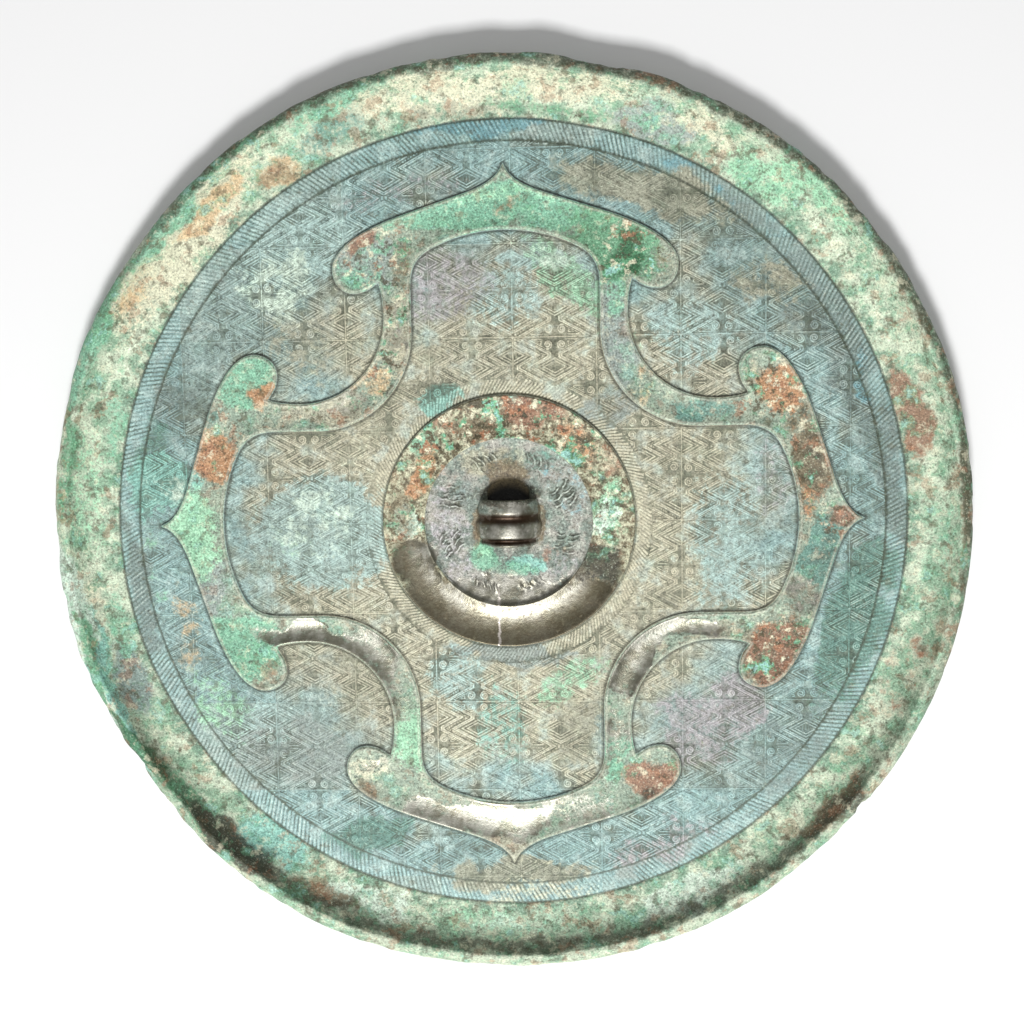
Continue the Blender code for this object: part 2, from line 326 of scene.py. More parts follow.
def stamp_rows():
    """Every line of one stamp, about its middle."""
    rows = []
    for side_x in (-1, 1):
        for side_y in (-1, 1):
            flip = np.array([side_x, side_y])
            band = [zigzag_row(way * offset, height) for way in (-1, 1) for offset, height in (
                (0.33, 0.0), (0.52, LINE_HEIGHT), (0.71, 0.05), (0.90, LINE_HEIGHT), (1.08, 0.0))]
            band.append(dot_row())
            rows += [(points * flip, heights) for points, heights in band]
    half_width = STAMP_WIDTH / 2
    half_height = STAMP_HEIGHT / 2
    lozenge_rise = 3.4
    for x, y in ((0, lozenge_rise), (0, -lozenge_rise),
                 (-half_width, half_height - lozenge_rise), (half_width, half_height - lozenge_rise),
                 (-half_width, lozenge_rise - half_height), (half_width, lozenge_rise - half_height)):
        for wide, high in ((3.2, 1.74), (2.15, 1.17)):
            corners = [(x + wide, y), (x, y + high), (x - wide, y), (x, y - high)]
            rows += ridge(corners, LINE_HEIGHT, 0.18, closed=True)
        for aside, tall in ((-0.62, 0.42), (0, 0.66), (0.62, 0.42)):
            rows += ridge([(x + aside, y - tall), (x + aside, y + tall)], 0.2, 0.16)
    for cell_x, cell_y in ((-half_width, 0), (half_width, 0), (0, -half_height), (0, half_height)):
        for side_x in (-1, 1):
            for side_y in (-1, 1):
                flip = np.array([side_x, side_y])
                cell = np.array([cell_x, cell_y])
                loops = spiral_rows(np.array([1.36, 1.36]), 1, math.radians(62))
                loops += ridge([(1.80, 2.18), (3.3, 1.36), (4.80, 0.56), (4.5, 0.34), (2.5, 0.34)],
                               LINE_HEIGHT, 0.17)
                loops += ridge([(2.62, 0.78), (3.7, 0.78), (2.72, 1.3)], 0.2, 0.15, closed=True)
                rows += [(points * flip + cell, heights) for points, heights in loops]
    return rows


def stamp_inner_distance(points, left, bottom):
    """How far a point lies within its stamp."""
    x = points[:, 0] - left
    y = points[:, 1] - bottom
    return np.minimum(np.minimum(x, STAMP_WIDTH - x), np.minimum(y, STAMP_HEIGHT - y))


def ground_clearance(points, boxes):
    """How far a point lies within its stamp and the open ground, below 0 outside."""
    radius = np.hypot(points[:, 0], points[:, 1])
    room = np.minimum(radius - HATCH_IN - 0.42, FIELD - 0.42 - radius)
    room = np.minimum(room, stamp_inner_distance(points, boxes[:, 0], boxes[:, 1]) - 0.24)
    close = room > 0
    if close.any():
        room[close] = np.minimum(room[close], -band_depth(points[close]) - 0.42)
    return room


def ground_lines():
    """All lines of the ground, stamp by stamp, cut off at the seams, rings and band."""
    pattern = stamp_rows()
    luck = np.random.default_rng(7)
    rows = []
    for column in range(-5, 5):
        for row in range(-5, 5):
            left = STAMP_LEFT + STAMP_WIDTH * column
            bottom = STAMP_HEIGHT * row
            middle = np.array([left + STAMP_WIDTH / 2, bottom + STAMP_HEIGHT / 2])
            shift = luck.uniform(-0.22, 0.22, 2)
            turn = math.radians(luck.uniform(-0.5, 0.5))
            pressed = luck.uniform(0.72, 1.0)
            if np.hypot(*middle) > FIELD + 12:
                continue
            spin = np.array([[math.cos(turn), -math.sin(turn)], [math.sin(turn), math.cos(turn)]])
            for points, heights in pattern:
                rows.append((points @ spin.T + middle + shift, heights * pressed, left, bottom, 0.0))
            edge_left = np.array([(left, bottom + 0.3), (left, bottom + STAMP_HEIGHT - 0.3)])
            edge_low = np.array([(left + 0.3, bottom), (left + STAMP_WIDTH - 0.3, bottom)])
            for edge in (edge_left, edge_low):
                side = np.array([0.17, 0]) if edge is edge_left else np.array([0, 0.17])
                for way, height in ((-1, 0), (0, 0.15), (1, 0)):
                    rows.append((edge + way * side, np.full(2, height), left - 1, bottom - 1, 1.0))
    return rows


def fine_row(points, heights, longest):
    """Add points along a row so that no step is longer than asked."""
    new_points = [points[:1]]
    new_heights = [heights[:1]]
    real = [np.array([True])]
    for i in range(len(points) - 1):
        steps = max(1, int(math.ceil(np.hypot(*(points[i + 1] - points[i])) / longest)))
        share = np.arange(1, steps + 1)[:, None] / steps
        new_points.append(points[i] + (points[i + 1] - points[i]) * share)
        new_heights.append(heights[i] + (heights[i + 1] - heights[i]) * share[:, 0])
        real.append(np.arange(1, steps + 1) == steps)
    return np.concatenate(new_points), np.concatenate(new_heights), np.concatenate(real)


def cut_rows(rows):
    """Keep the stretches of every row that lie in the open ground."""
    fine = [fine_row(points, heights, 0.8) for points, heights, left, bottom, seam in rows]
    counts = [len(points) for points, heights, real in fine]
    points = np.concatenate([part[0] for part in fine])
    heights = np.concatenate([part[1] for part in fine])
    real = np.concatenate([part[2] for part in fine])
    boxes = np.repeat([(row[2], row[3]) for row in rows], counts, axis=0)
    seams = np.repeat([row[4] for row in rows], counts) > 0
    boxes[seams] = points[seams] - 9
    room = ground_clearance(points, boxes)
    ends = np.cumsum(counts)
    starts = ends - counts
    crossing = np.flatnonzero((room[:-1] > 0) != (room[1:] > 0))
    crossing = crossing[~np.isin(crossing + 1, starts)]
    low = np.zeros(len(crossing))
    high = np.ones(len(crossing))
    first = points[crossing]
    second = points[crossing + 1]
    first_in = room[crossing] > 0
    for halving in range(8):
        middle = (low + high) / 2
        spot = first + (second - first) * middle[:, None]
        spot_boxes = np.where(seams[crossing][:, None], spot - 9, boxes[crossing])
        spot_in = ground_clearance(spot, spot_boxes) > 0
        same = spot_in == first_in
        low = np.where(same, middle, low)
        high = np.where(same, high, middle)
    share = np.where(first_in, low, high)
    cut_points = first + (second - first) * share[:, None]
    cut_heights = heights[crossing] + (heights[crossing + 1] - heights[crossing]) * share
    cut_at = {int(place): k for k, place in enumerate(crossing)}
    kept = []
    for start, end in zip(starts, ends):
        run = []
        since = 0.0
        for k in range(start, end):
            if room[k] > 0:
                if run and k > start:
                    since += math.dist(points[k], points[k - 1])
                last = k + 1 >= end or room[k + 1] <= 0
                if real[k] or since > 2.3 or not run or last:
                    run.append((points[k], heights[k]))
                    since = 0.0
            if k in cut_at:
                spot = (cut_points[cut_at[k]], cut_heights[cut_at[k]])
                if room[k] > 0:
                    run.append(spot)
                    if len(run) > 1:
                        kept.append(run)
                    run = []
                else:
                    run = [spot]
        if len(run) > 1:
            kept.append(run)
    return kept


def circle(radius, count, start=0.0):
    """Points round a circle."""
    turns = start + 2 * math.pi * np.arange(count) / count
    return np.stack([radius * np.cos(turns), radius * np.sin(turns)], 1)


class Sheet:
    """Points and lines that are gathered for one flat triangulation with heights."""

    def __init__(self):
        self.points = []
        self.heights = []
        self.edges = []

    def add(self, points, heights, closed=False, linked=True):
        first = len(self.points)
        self.points += [tuple(point) for point in points]
        self.heights += list(heights)
        if linked:
            self.edges += [(first + i, first + i + 1) for i in range(len(points) - 1)]
            if closed:
                self.edges.append((first + len(points) - 1, first))

    def triangulate(self):
        flat = [Vector(point) for point in self.points]
        places, edges, faces, sources, _, _ = delaunay_2d_cdt(flat, self.edges, [], 0, 1e-5)
        places = np.array([tuple(place) for place in places])
        heights = np.array(self.heights)
        known = np.array([len(source) > 0 for source in sources])
        level = np.array([heights[source].max() if len(source) else 0.0 for source in sources])
        edges = np.array(edges)
        total = np.zeros(len(places))
        count = np.zeros(len(places))
        for a, b in ((edges[:, 0], edges[:, 1]), (edges[:, 1], edges[:, 0])):
            good = known[b]
            np.add.at(total, a[good], level[b[good]])
            np.add.at(count, a[good], 1)
        level[~known] = (total / np.maximum(count, 1))[~known]
        return places, level, np.array(faces)


HATCH_STROKES = 520
INNER_STROKES = 233
GROUND_OUT = FIELD - 0.2
GROUND_IN = HATCH_IN + 0.2
MIDDLE = RING_IN - 0.25
INNER_TURN = 0.08
HATCH_END = 78.5
HATCH_SHIFT = 0.55


def make_ground():
    """Ground and quatrefoil band as one sheet of triangles."""
    sheet = Sheet()
    sheet.add(circle(GROUND_OUT, 2 * HATCH_STROKES), np.zeros(2 * HATCH_STROKES), closed=True)
    sheet.add(circle(GROUND_IN, 2 * INNER_STROKES), np.zeros(2 * INNER_STROKES), closed=True)
    for loop in (OUTER, INNER):
        for outward in (0.28, -0.1):
            row = shift_loop(loop, outward)
            sheet.add(row, np.zeros(len(row)), closed=True)
        for outward in (-0.32, -0.7):
            row = shift_loop(loop, outward)
            sheet.add(row, np.zeros(len(row)), linked=False)
    step = 1.1
    columns = int(72 / step)
    spots = np.array([(step * (i + 0.5 * (j % 2)), step * 0.866 * j)
                      for j in range(-int(columns / 0.866), int(columns / 0.866) + 1)
                      for i in range(-columns, columns + 1)])
    luck = np.random.default_rng(3)
    spots = spots + luck.uniform(-0.1, 0.1, spots.shape)
    depth = band_depth(spots)
    spots = spots[depth > 1.1]
    sheet.add(spots, np.zeros(len(spots)), linked=False)
    for run in cut_rows(ground_lines()):
        points = np.array([point for point, height in run])
        heights = np.array([height for point, height in run])
        worn = 0.72 + 0.34 * cloud(points[:, 0], points[:, 1], 13, 21)
        worn = worn + 0.22 * cloud(points[:, 0], points[:, 1], 3.5, 22)
        sheet.add(points, heights * np.clip(worn, 0.2, 1.05))
    places, relief, faces = sheet.triangulate()
    radius = np.hypot(places[:, 0], places[:, 1])
    middle_radius = np.hypot(*places[faces].mean(1).T)
    faces = faces[middle_radius > GROUND_IN * math.cos(math.pi / INNER_STROKES / 2) - 0.001]
    depth = band_depth(places)
    level = PLATE + relief
    raised = depth > -0.30
    share = band_place(places[raised])[1]
    up = np.clip((depth[raised] + 0.28) / 0.38, 0, 1)
    edge = 1 - np.clip((depth[raised] - 0.1) / 0.3, 0, 1)
    level[raised] = PLATE + up * (BAND_RISE - BAND_HOLLOW * hollow(share) - EDGE_DROP * edge ** 2)
    level[radius < GROUND_IN + 0.001] = PLATE
    return np.column_stack([places, level]), faces


def stitch(rows):
    """Triangles between closed rows of points, where a row may halve the one before."""
    points = []
    faces = []
    first = 0
    for i, row in enumerate(rows):
        points.append(row)
        if i:
            above, below = first - len(rows[i - 1]), first
            many, few = len(rows[i - 1]), len(row)
            ratio = many // few
            for k in range(few):
                following = (k + 1) % few
                for part in range(ratio):
                    start = ratio * k + part
                    end = (start + 1) % many
                    near = k if part < (ratio + 1) // 2 else following
                    faces.append((above + start, above + end, below + near))
                    if part == (ratio - 1) // 2:
                        faces.append((above + end, below + following, below + k))
        first += len(row)
    return np.concatenate(points), np.array(faces)


def polar(radius, height, count, shear=0.0):
    """A closed row of points round the middle."""
    turns = 2 * math.pi * np.arange(count) / count + shear
    radius = np.broadcast_to(radius, count)
    height = np.broadcast_to(height, count)
    return np.column_stack([radius * np.cos(turns), radius * np.sin(turns), height])


def hatch_rows(edge, start, steps, shift, strokes, seed):
    """Rows of slanted strokes across a narrow ring; edge is where the smooth ground ends."""
    count = 2 * strokes
    luck = np.random.default_rng(seed)
    crest = np.arange(count) % 2 == 0
    way = 1 if steps[-1] > edge else -1
    poke = np.where(crest, luck.uniform(-0.12, 0.28, count), 0.0) * way
    depth = luck.uniform(0.7, 1.0, count) * (0.8 + 0.2 * cloud(np.arange(count) * 0.45, 0 * poke, 9, seed))
    rows = [polar(edge, PLATE, count)]
    rows.append(polar(start - poke * 0.5, np.where(crest, SUNK + 0.24 * depth, SUNK), count))
    for radius in steps:
        shear = shift * (radius - start) / radius * way
        last = radius == steps[-1]
        height = np.where(crest, SUNK + (0.06 if last else 0.25 * depth), SUNK - 0.02)
        rows.append(polar(radius, height, count, shear))
    return rows


def border_height(radius):
    """Height of the border, which sweeps up to the crest."""
    share = np.clip((radius - BORDER) / (CREST - BORDER), 0, 1)
    return SUNK + (RIM_HEIGHT - SUNK) * (0.62 * share ** 1.7 + 0.38 * share ** 5)


def make_rim():
    """From the ground's outer edge over the hatching, border, lip and wall to the plain face."""
    rows = hatch_rows(GROUND_OUT, FIELD + 0.05, (75.6, 76.9, 78.1, HATCH_END), HATCH_SHIFT,
                      HATCH_STROKES, 11)
    shear = HATCH_SHIFT * (HATCH_END - FIELD) / HATCH_END
    rows.append(polar(78.66, SUNK - 0.16, 2 * HATCH_STROKES, shear))
    rows.append(polar(78.86, SUNK + 0.05, 2 * HATCH_STROKES, shear))
    for radius in (79.5, 80.4, 81.3, 82.2, 83.1, 83.9, 84.7, 85.4, 86.0, 86.5, 86.9, 87.2):
        rows.append(polar(radius, border_height(radius) + 0.05, HATCH_STROKES, shear))
    for turn in (90, 72, 54, 37, 20, 4, -12):
        x = math.cos(math.radians(turn))
        z = math.sin(math.radians(turn))
        height = WIDEST_HEIGHT + (RIM_HEIGHT - WIDEST_HEIGHT) * z
        rows.append(polar(CREST + (RIM - CREST) * x, height, HATCH_STROKES, shear))
    for radius, height in ((89.75, 4.6), (89.15, 3.2), (88.3, 1.8), (87.5, 0.7), (87.0, 0.18), (86.6, 0.0)):
        rows.append(polar(radius, height, HATCH_STROKES, shear))
    for radius, part in ((84, 2), (78, 4), (70, 4), (60, 4), (48, 8), (35, 8), (20, 40)):
        rows.append(polar(radius, 0, HATCH_STROKES // part, shear))
    points, faces = stitch(rows)
    hub = len(points)
    last = np.arange(hub - len(rows[-1]), hub)
    fan = np.column_stack([last, np.roll(last, -1), np.full(len(last), hub)])
    return np.concatenate([points, [(0, 0, 0)]]), np.concatenate([faces, fan])


def ring_height(radius):
    """Height of the hollowed ring."""
    share = (RING - radius) / (RING - RING_IN)
    edge = 1 - np.clip(np.minimum(RING - radius, radius - RING_IN) / 0.35, 0, 1)
    return PLATE + RING_RISE - RING_HOLLOW * hollow(np.clip(share, 0, 1)) - EDGE_DROP * edge ** 2


def make_ring():
    """From the ground's inner edge over the inner hatching and the hollowed ring to the middle."""
    rows = hatch_rows(GROUND_IN, HATCH_IN - 0.05, (27.5, 26.6, 25.9, 25.5), 0.67, INNER_STROKES, 12)
    rows.append(polar(25.32, SUNK - 0.1, 2 * INNER_STROKES, INNER_TURN))
    for radius in (25.05, 24.85, 24.5, 24.0, 23.3, 22.4, 21.4, 20.4, 19.4, 18.5, 17.8, 17.3, 17.0, 16.85):
        rows.append(polar(radius, ring_height(radius), INNER_STROKES, INNER_TURN))
    rows.append(polar(MIDDLE, PLATE, INNER_STROKES, INNER_TURN))
    return stitch(rows)


def make_middle():
    """Flat middle with its worn strokes and the trough that leads the cord in."""
    sheet = Sheet()
    sheet.add(circle(MIDDLE, INNER_STROKES, INNER_TURN), np.zeros(INNER_STROKES), closed=True)
    low = TROUGH_FLOOR - PLATE
    half = HOLE_HALF_SPAN
    far = TROUGH_HALF_LENGTH + TROUGH_RAMP
    right_sides = (
        ([(3.4, -far), (half, -4.0), (half, 7.0), (3.3, 8.9), (1.8, far)], 0.0),
        ([(3.0, -8.4), (half - 0.2, -4.0), (half - 0.1, 6.4), (3.2, 7.9), (1.7, 8.9)], 0.22 * low),
        ([(2.6, -5.4), (half - 0.6, -3.4), (half - 0.3, 5.2), (3.2, 6.4), (1.7, 7.2)], low))
    for right, level in right_sides:
        left = [(-x, y) for x, y in reversed(right)]
        closed = np.array(left[-1:] + right + left, float)
        points, heights, real = fine_row(closed, np.full(len(closed), level), 0.9)
        sheet.add(points[:-1], heights[:-1], closed=True)
    luck = np.random.default_rng(5)
    for group in range(8):
        turn = math.radians(22.5 + 45 * group + luck.uniform(-4, 4))
        out = np.array([math.cos(turn), math.sin(turn)])
        side = np.array([-out[1], out[0]])
        for rank, radius in enumerate((10.9, 13.3)):
            count = (3, 4)[rank]
            for stroke in range(count):
                place = (stroke - (count - 1) / 2) * 1.3 + luck.uniform(-0.15, 0.15)
                tall = luck.uniform(0.5, 0.9)
                lean = luck.uniform(0.15, 0.5)
                middle = out * radius + side * place
                bow = out * tall + side * lean
                points = [middle - bow, middle - 0.2 * side, middle + bow]
                if max(abs(points[0][0]), abs(points[2][0])) < half + 0.6:
                    if min(abs(points[0][1]), abs(points[2][1])) < far + 0.5:
                        continue
                if np.hypot(*points[2]) > MIDDLE - 0.5:
                    continue
                for row, heights in ridge(points, 0.34 * luck.uniform(0.6, 1.0), 0.24):
                    sheet.add(row, np.where(heights > 0, heights, -0.14))
    step = 0.9
    for i in range(-18, 19):
        for j in range(-21, 22):
            x, y = step * (i + 0.5 * (j % 2)), step * 0.866 * j
            if math.hypot(x, y) < MIDDLE - 0.5 and (abs(x) > half + 0.3 or abs(y) > far + 0.3):
                sheet.add([(x, y)], [0.0], linked=False)
            elif abs(x) < half - 1.0 and -3.2 < y < 4.6:
                sheet.add([(x, y)], [low], linked=False)
    places, relief, faces = sheet.triangulate()
    return np.column_stack([places, PLATE + relief]), faces


def make_knob():
    """The three-stringed bridge knob: an arch swept along Y over the cord's hole."""
    stations = np.concatenate([[-1.045, -1.03], np.linspace(-1, 1, 45), [1.03, 1.045]])
    arch = 30
    rows = []
    for place in stations:
        held = min(abs(place), 1)
        taper = 0.9 * held ** 2
        along = place * KNOB_HALF_WIDTH
        groove = math.exp(-((along - 0.95) / 0.8) ** 2) + 0.9 * math.exp(-((along + 3.45) / 0.42) ** 2)
        string = STRING_HEIGHT * (1 - 1.45 * groove)
        drop = STRING_HEIGHT - string + (0.12 if abs(place) > 1.01 else 0)
        drop += 0.3 if abs(place) > 1.035 else 0
        half_span = HOLE_HALF_SPAN + FOOT_WALL - taper - 0.5 * drop
        crown = PLATE + HOLE_RISE + CROWN + STRING_HEIGHT - 0.5 * taper - drop
        turns = np.linspace(0, math.pi, arch + 1)
        foot = 0.35 * np.exp(-np.sin(turns) * 9)
        outer_x = (half_span + foot) * np.cos(turns)
        outer_z = PLATE - 0.3 + (crown - PLATE + 0.3) * np.sin(turns) ** 0.92
        inner_x = HOLE_HALF_SPAN * np.cos(turns[::-1])
        inner_z = PLATE + HOLE_RISE * np.sin(turns[::-1])
        inner_z[[0, -1]] = PLATE - 0.4
        x = np.concatenate([outer_x, inner_x])
        z = np.concatenate([outer_z, inner_z])
        rows.append(np.column_stack([x, np.full(len(x), place * KNOB_HALF_WIDTH), z]))
    count = len(rows[0])
    points = np.concatenate(rows)
    faces = []
    for i in range(len(rows) - 1):
        for k in range(count):
            a = i * count + k
            b = i * count + (k + 1) % count
            faces.append((a, b, b + count))
            faces.append((a, b + count, a + count))
    for end, flip in ((0, False), ((len(rows) - 1) * count, True)):
        for k in range(arch):
            quad = (end + k, end + k + 1, end + count - 2 - k, end + count - 1 - k)
            for face in ((quad[0], quad[2], quad[1]), (quad[0], quad[3], quad[2])):
                faces.append(face[::-1] if flip else face)
    return points, np.array(faces)


def rim_change(angle):
    """How far the rim lies out of round at an angle."""
    total = np.zeros(len(angle))
    for centre, half_width, change in RIM_CHANGES:
        away = np.abs((angle - centre + 180) % 360 - 180) / half_width
        total += np.where(away < 1, change * (0.5 + 0.5 * np.cos(np.pi * np.minimum(away, 1))), 0)
    return total


def weather(points):
    """Let the casting lose its evenness: warps, worn lip, crusty and chipped rim."""
    x, y, z = points.T
    radius = np.hypot(x, y)
    angle = np.degrees(np.arctan2(y, x)) % 360
    upper = np.clip((z - 1.0) / 0.6, 0, 1)
    swell = 0.05 * cloud(x, y, 16, 41) + 0.03 * cloud(x, y, 5, 42)
    border = np.clip((radius - 79.5) / 2, 0, 1) * np.clip((RIM_HEIGHT - z) / 0.5, 0, 1)
    swell += border * (0.16 * cloud(x, y, 4.5, 43) + 0.10 * cloud(x, y, 2.1, 44))
    new_z = z + upper * swell
    share = np.clip((radius - FIELD) / (RIM - FIELD), 0, 1)
    edge = np.clip((radius - 87.0) / 2, 0, 1)
    arc = np.radians(angle) * RIM
    rough = 0.16 + 0.34 * np.exp(-((angle - 206) / 22) ** 2) + 0.2 * np.exp(-((angle - 60) / 28) ** 2)
    crumb = cloud(arc, z * 1.4, 5.2, 48) + 0.7 * cloud(arc, z * 1.4, 2.3, 45)
    crumb = np.minimum(crumb + 0.5 * cloud(arc, z * 1.4, 1.1, 46) - 0.3, 0.1)
    change = rim_change(angle) * share + edge * rough * crumb
    notch = (RIM - 1.3 - 0.35) + 0.59 * np.abs((angle - 320.5 + 180) % 360 - 180) * math.pi / 180 * RIM
    new_radius = radius + change
    new_radius = np.minimum(new_radius, np.maximum(notch, 86.0))
    new_z = np.where(edge > 0, new_z - 0.12 * edge * upper * (1 + cloud(arc, radius, 3.1, 47)), new_z)
    scale = new_radius / np.maximum(radius, 1e-6)
    scale = np.where(radius < FIELD, 1, scale)
    new_x = np.clip(x * scale, -RIM, RIM)
    new_y = np.clip(y * scale, -RIM, RIM)
    return np.column_stack([new_x, new_y, np.clip(new_z, 0, RIM_HEIGHT)])


def store(mesh, name, values):
    """Keep one value for each point on the mesh."""
    mesh.attributes.new(name, "FLOAT", "POINT").data.foreach_set("value", values.astype(np.float32))


def lay_pigments(mesh, points, depth):
    """Store how much of each pigment lies at each point, from the patches of its own stretch."""
    x, y, z = points.T
    radius = np.hypot(x, y)
    upper = z > DECORATED
    on_band = depth > -0.15
    ground = (radius > HATCH_IN - 3.2) & (radius < BORDER) & ~on_band & upper
    ring = (radius > RING_IN - 0.1) & (radius < RING + 0.2) & upper
    stretches = (
        (FIELD_PATCHES, ground, 1.0), (BAND_PATCHES, on_band, 1.0), (BORDER_PATCHES, radius >= BORDER, 0.6),
        (RING_PATCHES, ring, 0.7), (MIDDLE_PATCHES, (radius <= RING_IN - 0.1) & upper, 0.3),
        (BARE_SPOTS, (on_band | ring | (radius < RING_IN)) & upper, 1.0),
    )
    drift_x = 2.4 * cloud(x, y, 7, 61) + 1.1 * cloud(x, y, 2.6, 62) + 0.5 * cloud(x, y, 1.1, 63)
    drift_y = 2.4 * cloud(x, y, 7, 64) + 1.1 * cloud(x, y, 2.6, 65) + 0.5 * cloud(x, y, 1.1, 66)
    names = [name for name, colour in PIGMENTS] + ["bare", "crust"]
    amounts = {name: np.zeros(len(points)) for name in names}
    for patches, where, drift in stretches:
        for name, spots in patches.items():
            for middle_x, middle_y, half_x, half_y, degrees, strength in spots:
                turn = math.radians(degrees)
                way_x = x[where] + drift * drift_x[where] - middle_x
                way_y = y[where] + drift * drift_y[where] - middle_y
                along = (way_x * math.cos(turn) + way_y * math.sin(turn)) / half_x
                across = (way_y * math.cos(turn) - way_x * math.sin(turn)) / half_y
                amount = strength * np.clip((1.5 - np.hypot(along, across)) / 0.8, 0, 1)
                amounts[name][where] = np.maximum(amounts[name][where], amount)
    for name, amount in amounts.items():
        store(mesh, name, amount)


def make_casting():
    """Bring all stretches together as one closed mesh with the places its patina follows."""
    points = []
    faces = []
    first = 0
    for part_points, part_faces in (make_ground(), make_rim(), make_ring(), make_middle(), make_knob()):
        points.append(part_points)
        faces.append(part_faces + first)
        first += len(part_points)
    points = np.concatenate(points)
    faces = np.concatenate(faces)
    mesh = bpy.data.meshes.new("mirror_casting")
    mesh.from_pydata((points * 0.001).tolist(), [], faces.tolist())
    casting = bpy.data.objects.new("mirror_casting", mesh)
    bpy.context.scene.collection.objects.link(casting)
    bpy.context.view_layer.objects.active = casting
    casting.select_set(True)
    bpy.ops.object.mode_set(mode="EDIT")
    bpy.ops.mesh.select_all(action="SELECT")
    bpy.ops.mesh.remove_doubles(threshold=0.000002)
    bpy.ops.mesh.normals_make_consistent(inside=False)
    bpy.ops.object.mode_set(mode="OBJECT")
    count = len(mesh.vertices)
    flat = np.empty(count * 3, np.float32)
    mesh.vertices.foreach_get("co", flat)
    points = flat.reshape(-1, 3).astype(float) * 1000
    radius = np.hypot(points[:, 0], points[:, 1])
    depth = np.clip(band_depth(points[:, :2]), -3, 3)
    depth[(radius > FIELD) | (radius < HATCH_IN) | (points[:, 2] < DECORATED)] = -3
    relief = np.clip((points[:, 2] - PLATE) / LINE_HEIGHT, 0, 1)
    hatch = ((radius > FIELD) & (radius < BORDER)) | ((radius > 25.4) & (radius < HATCH_IN))
    relief[hatch] = np.clip((points[hatch, 2] - SUNK) / 0.25, 0, 1)
    plain = (depth > -0.3) | (radius > BORDER) | (radius < RING + 0.3) | (points[:, 2] < DECORATED)
    relief[plain] = 0.5
    strokes = (radius < MIDDLE) & (points[:, 2] > DECORATED)
    strokes &= (np.abs(points[:, 0]) > HOLE_HALF_SPAN + 2.5) | (np.abs(points[:, 1]) > 10.3)
    relief[strokes] = np.clip(0.5 + 7.0 * (points[strokes, 2] - PLATE), 0, 1)
    store(mesh, "reach", radius)
    store(mesh, "band_depth", depth)
    store(mesh, "relief", relief)
    lay_pigments(mesh, points, depth)
    moved = weather(points) * 0.001
    mesh.vertices.foreach_set("co", moved.astype(np.float32).ravel())
    bpy.ops.object.shade_smooth()
    casting.select_set(False)
    mesh.update()
    return casting


def shade(red, green, blue):
    """A colour as the eye reads it, 0 to 255, as Blender's linear values."""
    linear = []
    for value in (red, green, blue):
        value /= 255
        linear.append(value / 12.92 if value <= 0.04045 else ((value + 0.055) / 1.055) ** 2.4)
    return (*linear, 1.0)


class Finish:
    """Short hands for building one material's nodes."""

    def __init__(self, name):
        self.material = bpy.data.materials.new(name)
        self.material.use_nodes = True
        self.tree = self.material.node_tree
        self.shader = self.tree.nodes["Principled BSDF"]

    def node(self, kind, *inputs, **settings):
        node = self.tree.nodes.new(kind)
        for name, value in settings.items():
            setattr(node, name, value)
        for socket, value in zip(node.inputs, inputs):
            self.feed(socket, value)
        return node

    def feed(self, socket, value):
        """Link a value into a socket, or set it there."""
        if isinstance(value, bpy.types.NodeSocket):
            self.tree.links.new(value, socket)
        elif value is not None:
            socket.default_value = value

    def stored(self, name):
        """A value kept on the mesh."""
        return self.node("ShaderNodeAttribute", attribute_name=name).outputs["Fac"]

    def maths(self, operation, first, second=None, third=None):
        return self.node("ShaderNodeMath", first, second, third, operation=operation).outputs[0]

    def times(self, first, second):
        return self.maths("MULTIPLY", first, second)

    def larger(self, first, second):
        return self.maths("MAXIMUM", first, second)

    def smaller(self, first, second):
        return self.maths("MINIMUM", first, second)

    def gap(self, first, second):
        """How far two values lie apart."""
        return self.maths("ABSOLUTE", self.maths("SUBTRACT", first, second))

    def stray(self, value, noise, reach, mean=0.5):
        """Let a value wander with a noise."""
        return self.maths("MULTIPLY_ADD", self.maths("SUBTRACT", noise, mean), reach, value)

    def spread(self, value, low, high, to_low=0.0, to_high=1.0):
        """Bring the values from low to high smoothly onto another stretch."""
        node = self.node("ShaderNodeMapRange", value, low, high, to_low, to_high)
        node.interpolation_type = "SMOOTHSTEP"
        return node.outputs[0]

    def blend(self, share, first, second):
        """Lay a second colour over a first."""
        node = self.tree.nodes.new("ShaderNodeMix")
        node.data_type = "RGBA"
        self.feed(node.inputs[0], share)
        self.feed(node.inputs[6], first)
        self.feed(node.inputs[7], second)
        return node.outputs[2]

    def mottle(self, place, size, detail, rough, shift=None):
        """Noise with spots of a size in millimetres."""
        if shift:
            place = self.node("ShaderNodeMapping", place, shift).outputs[0]
        node = self.node("ShaderNodeTexNoise", place)
        node.inputs["Scale"].default_value = 1 / size
        node.inputs["Detail"].default_value = detail
        node.inputs["Roughness"].default_value = rough
        return node.outputs[0]

    def pigment(self, name, fray):
        """Ragged mask of one pigment, from where it lies on the mesh."""
        amount = self.maths("ADD", self.times(self.stored(name), 1.1), fray)
        return self.spread(amount, 0.34, 0.74, 0.0, 0.9)


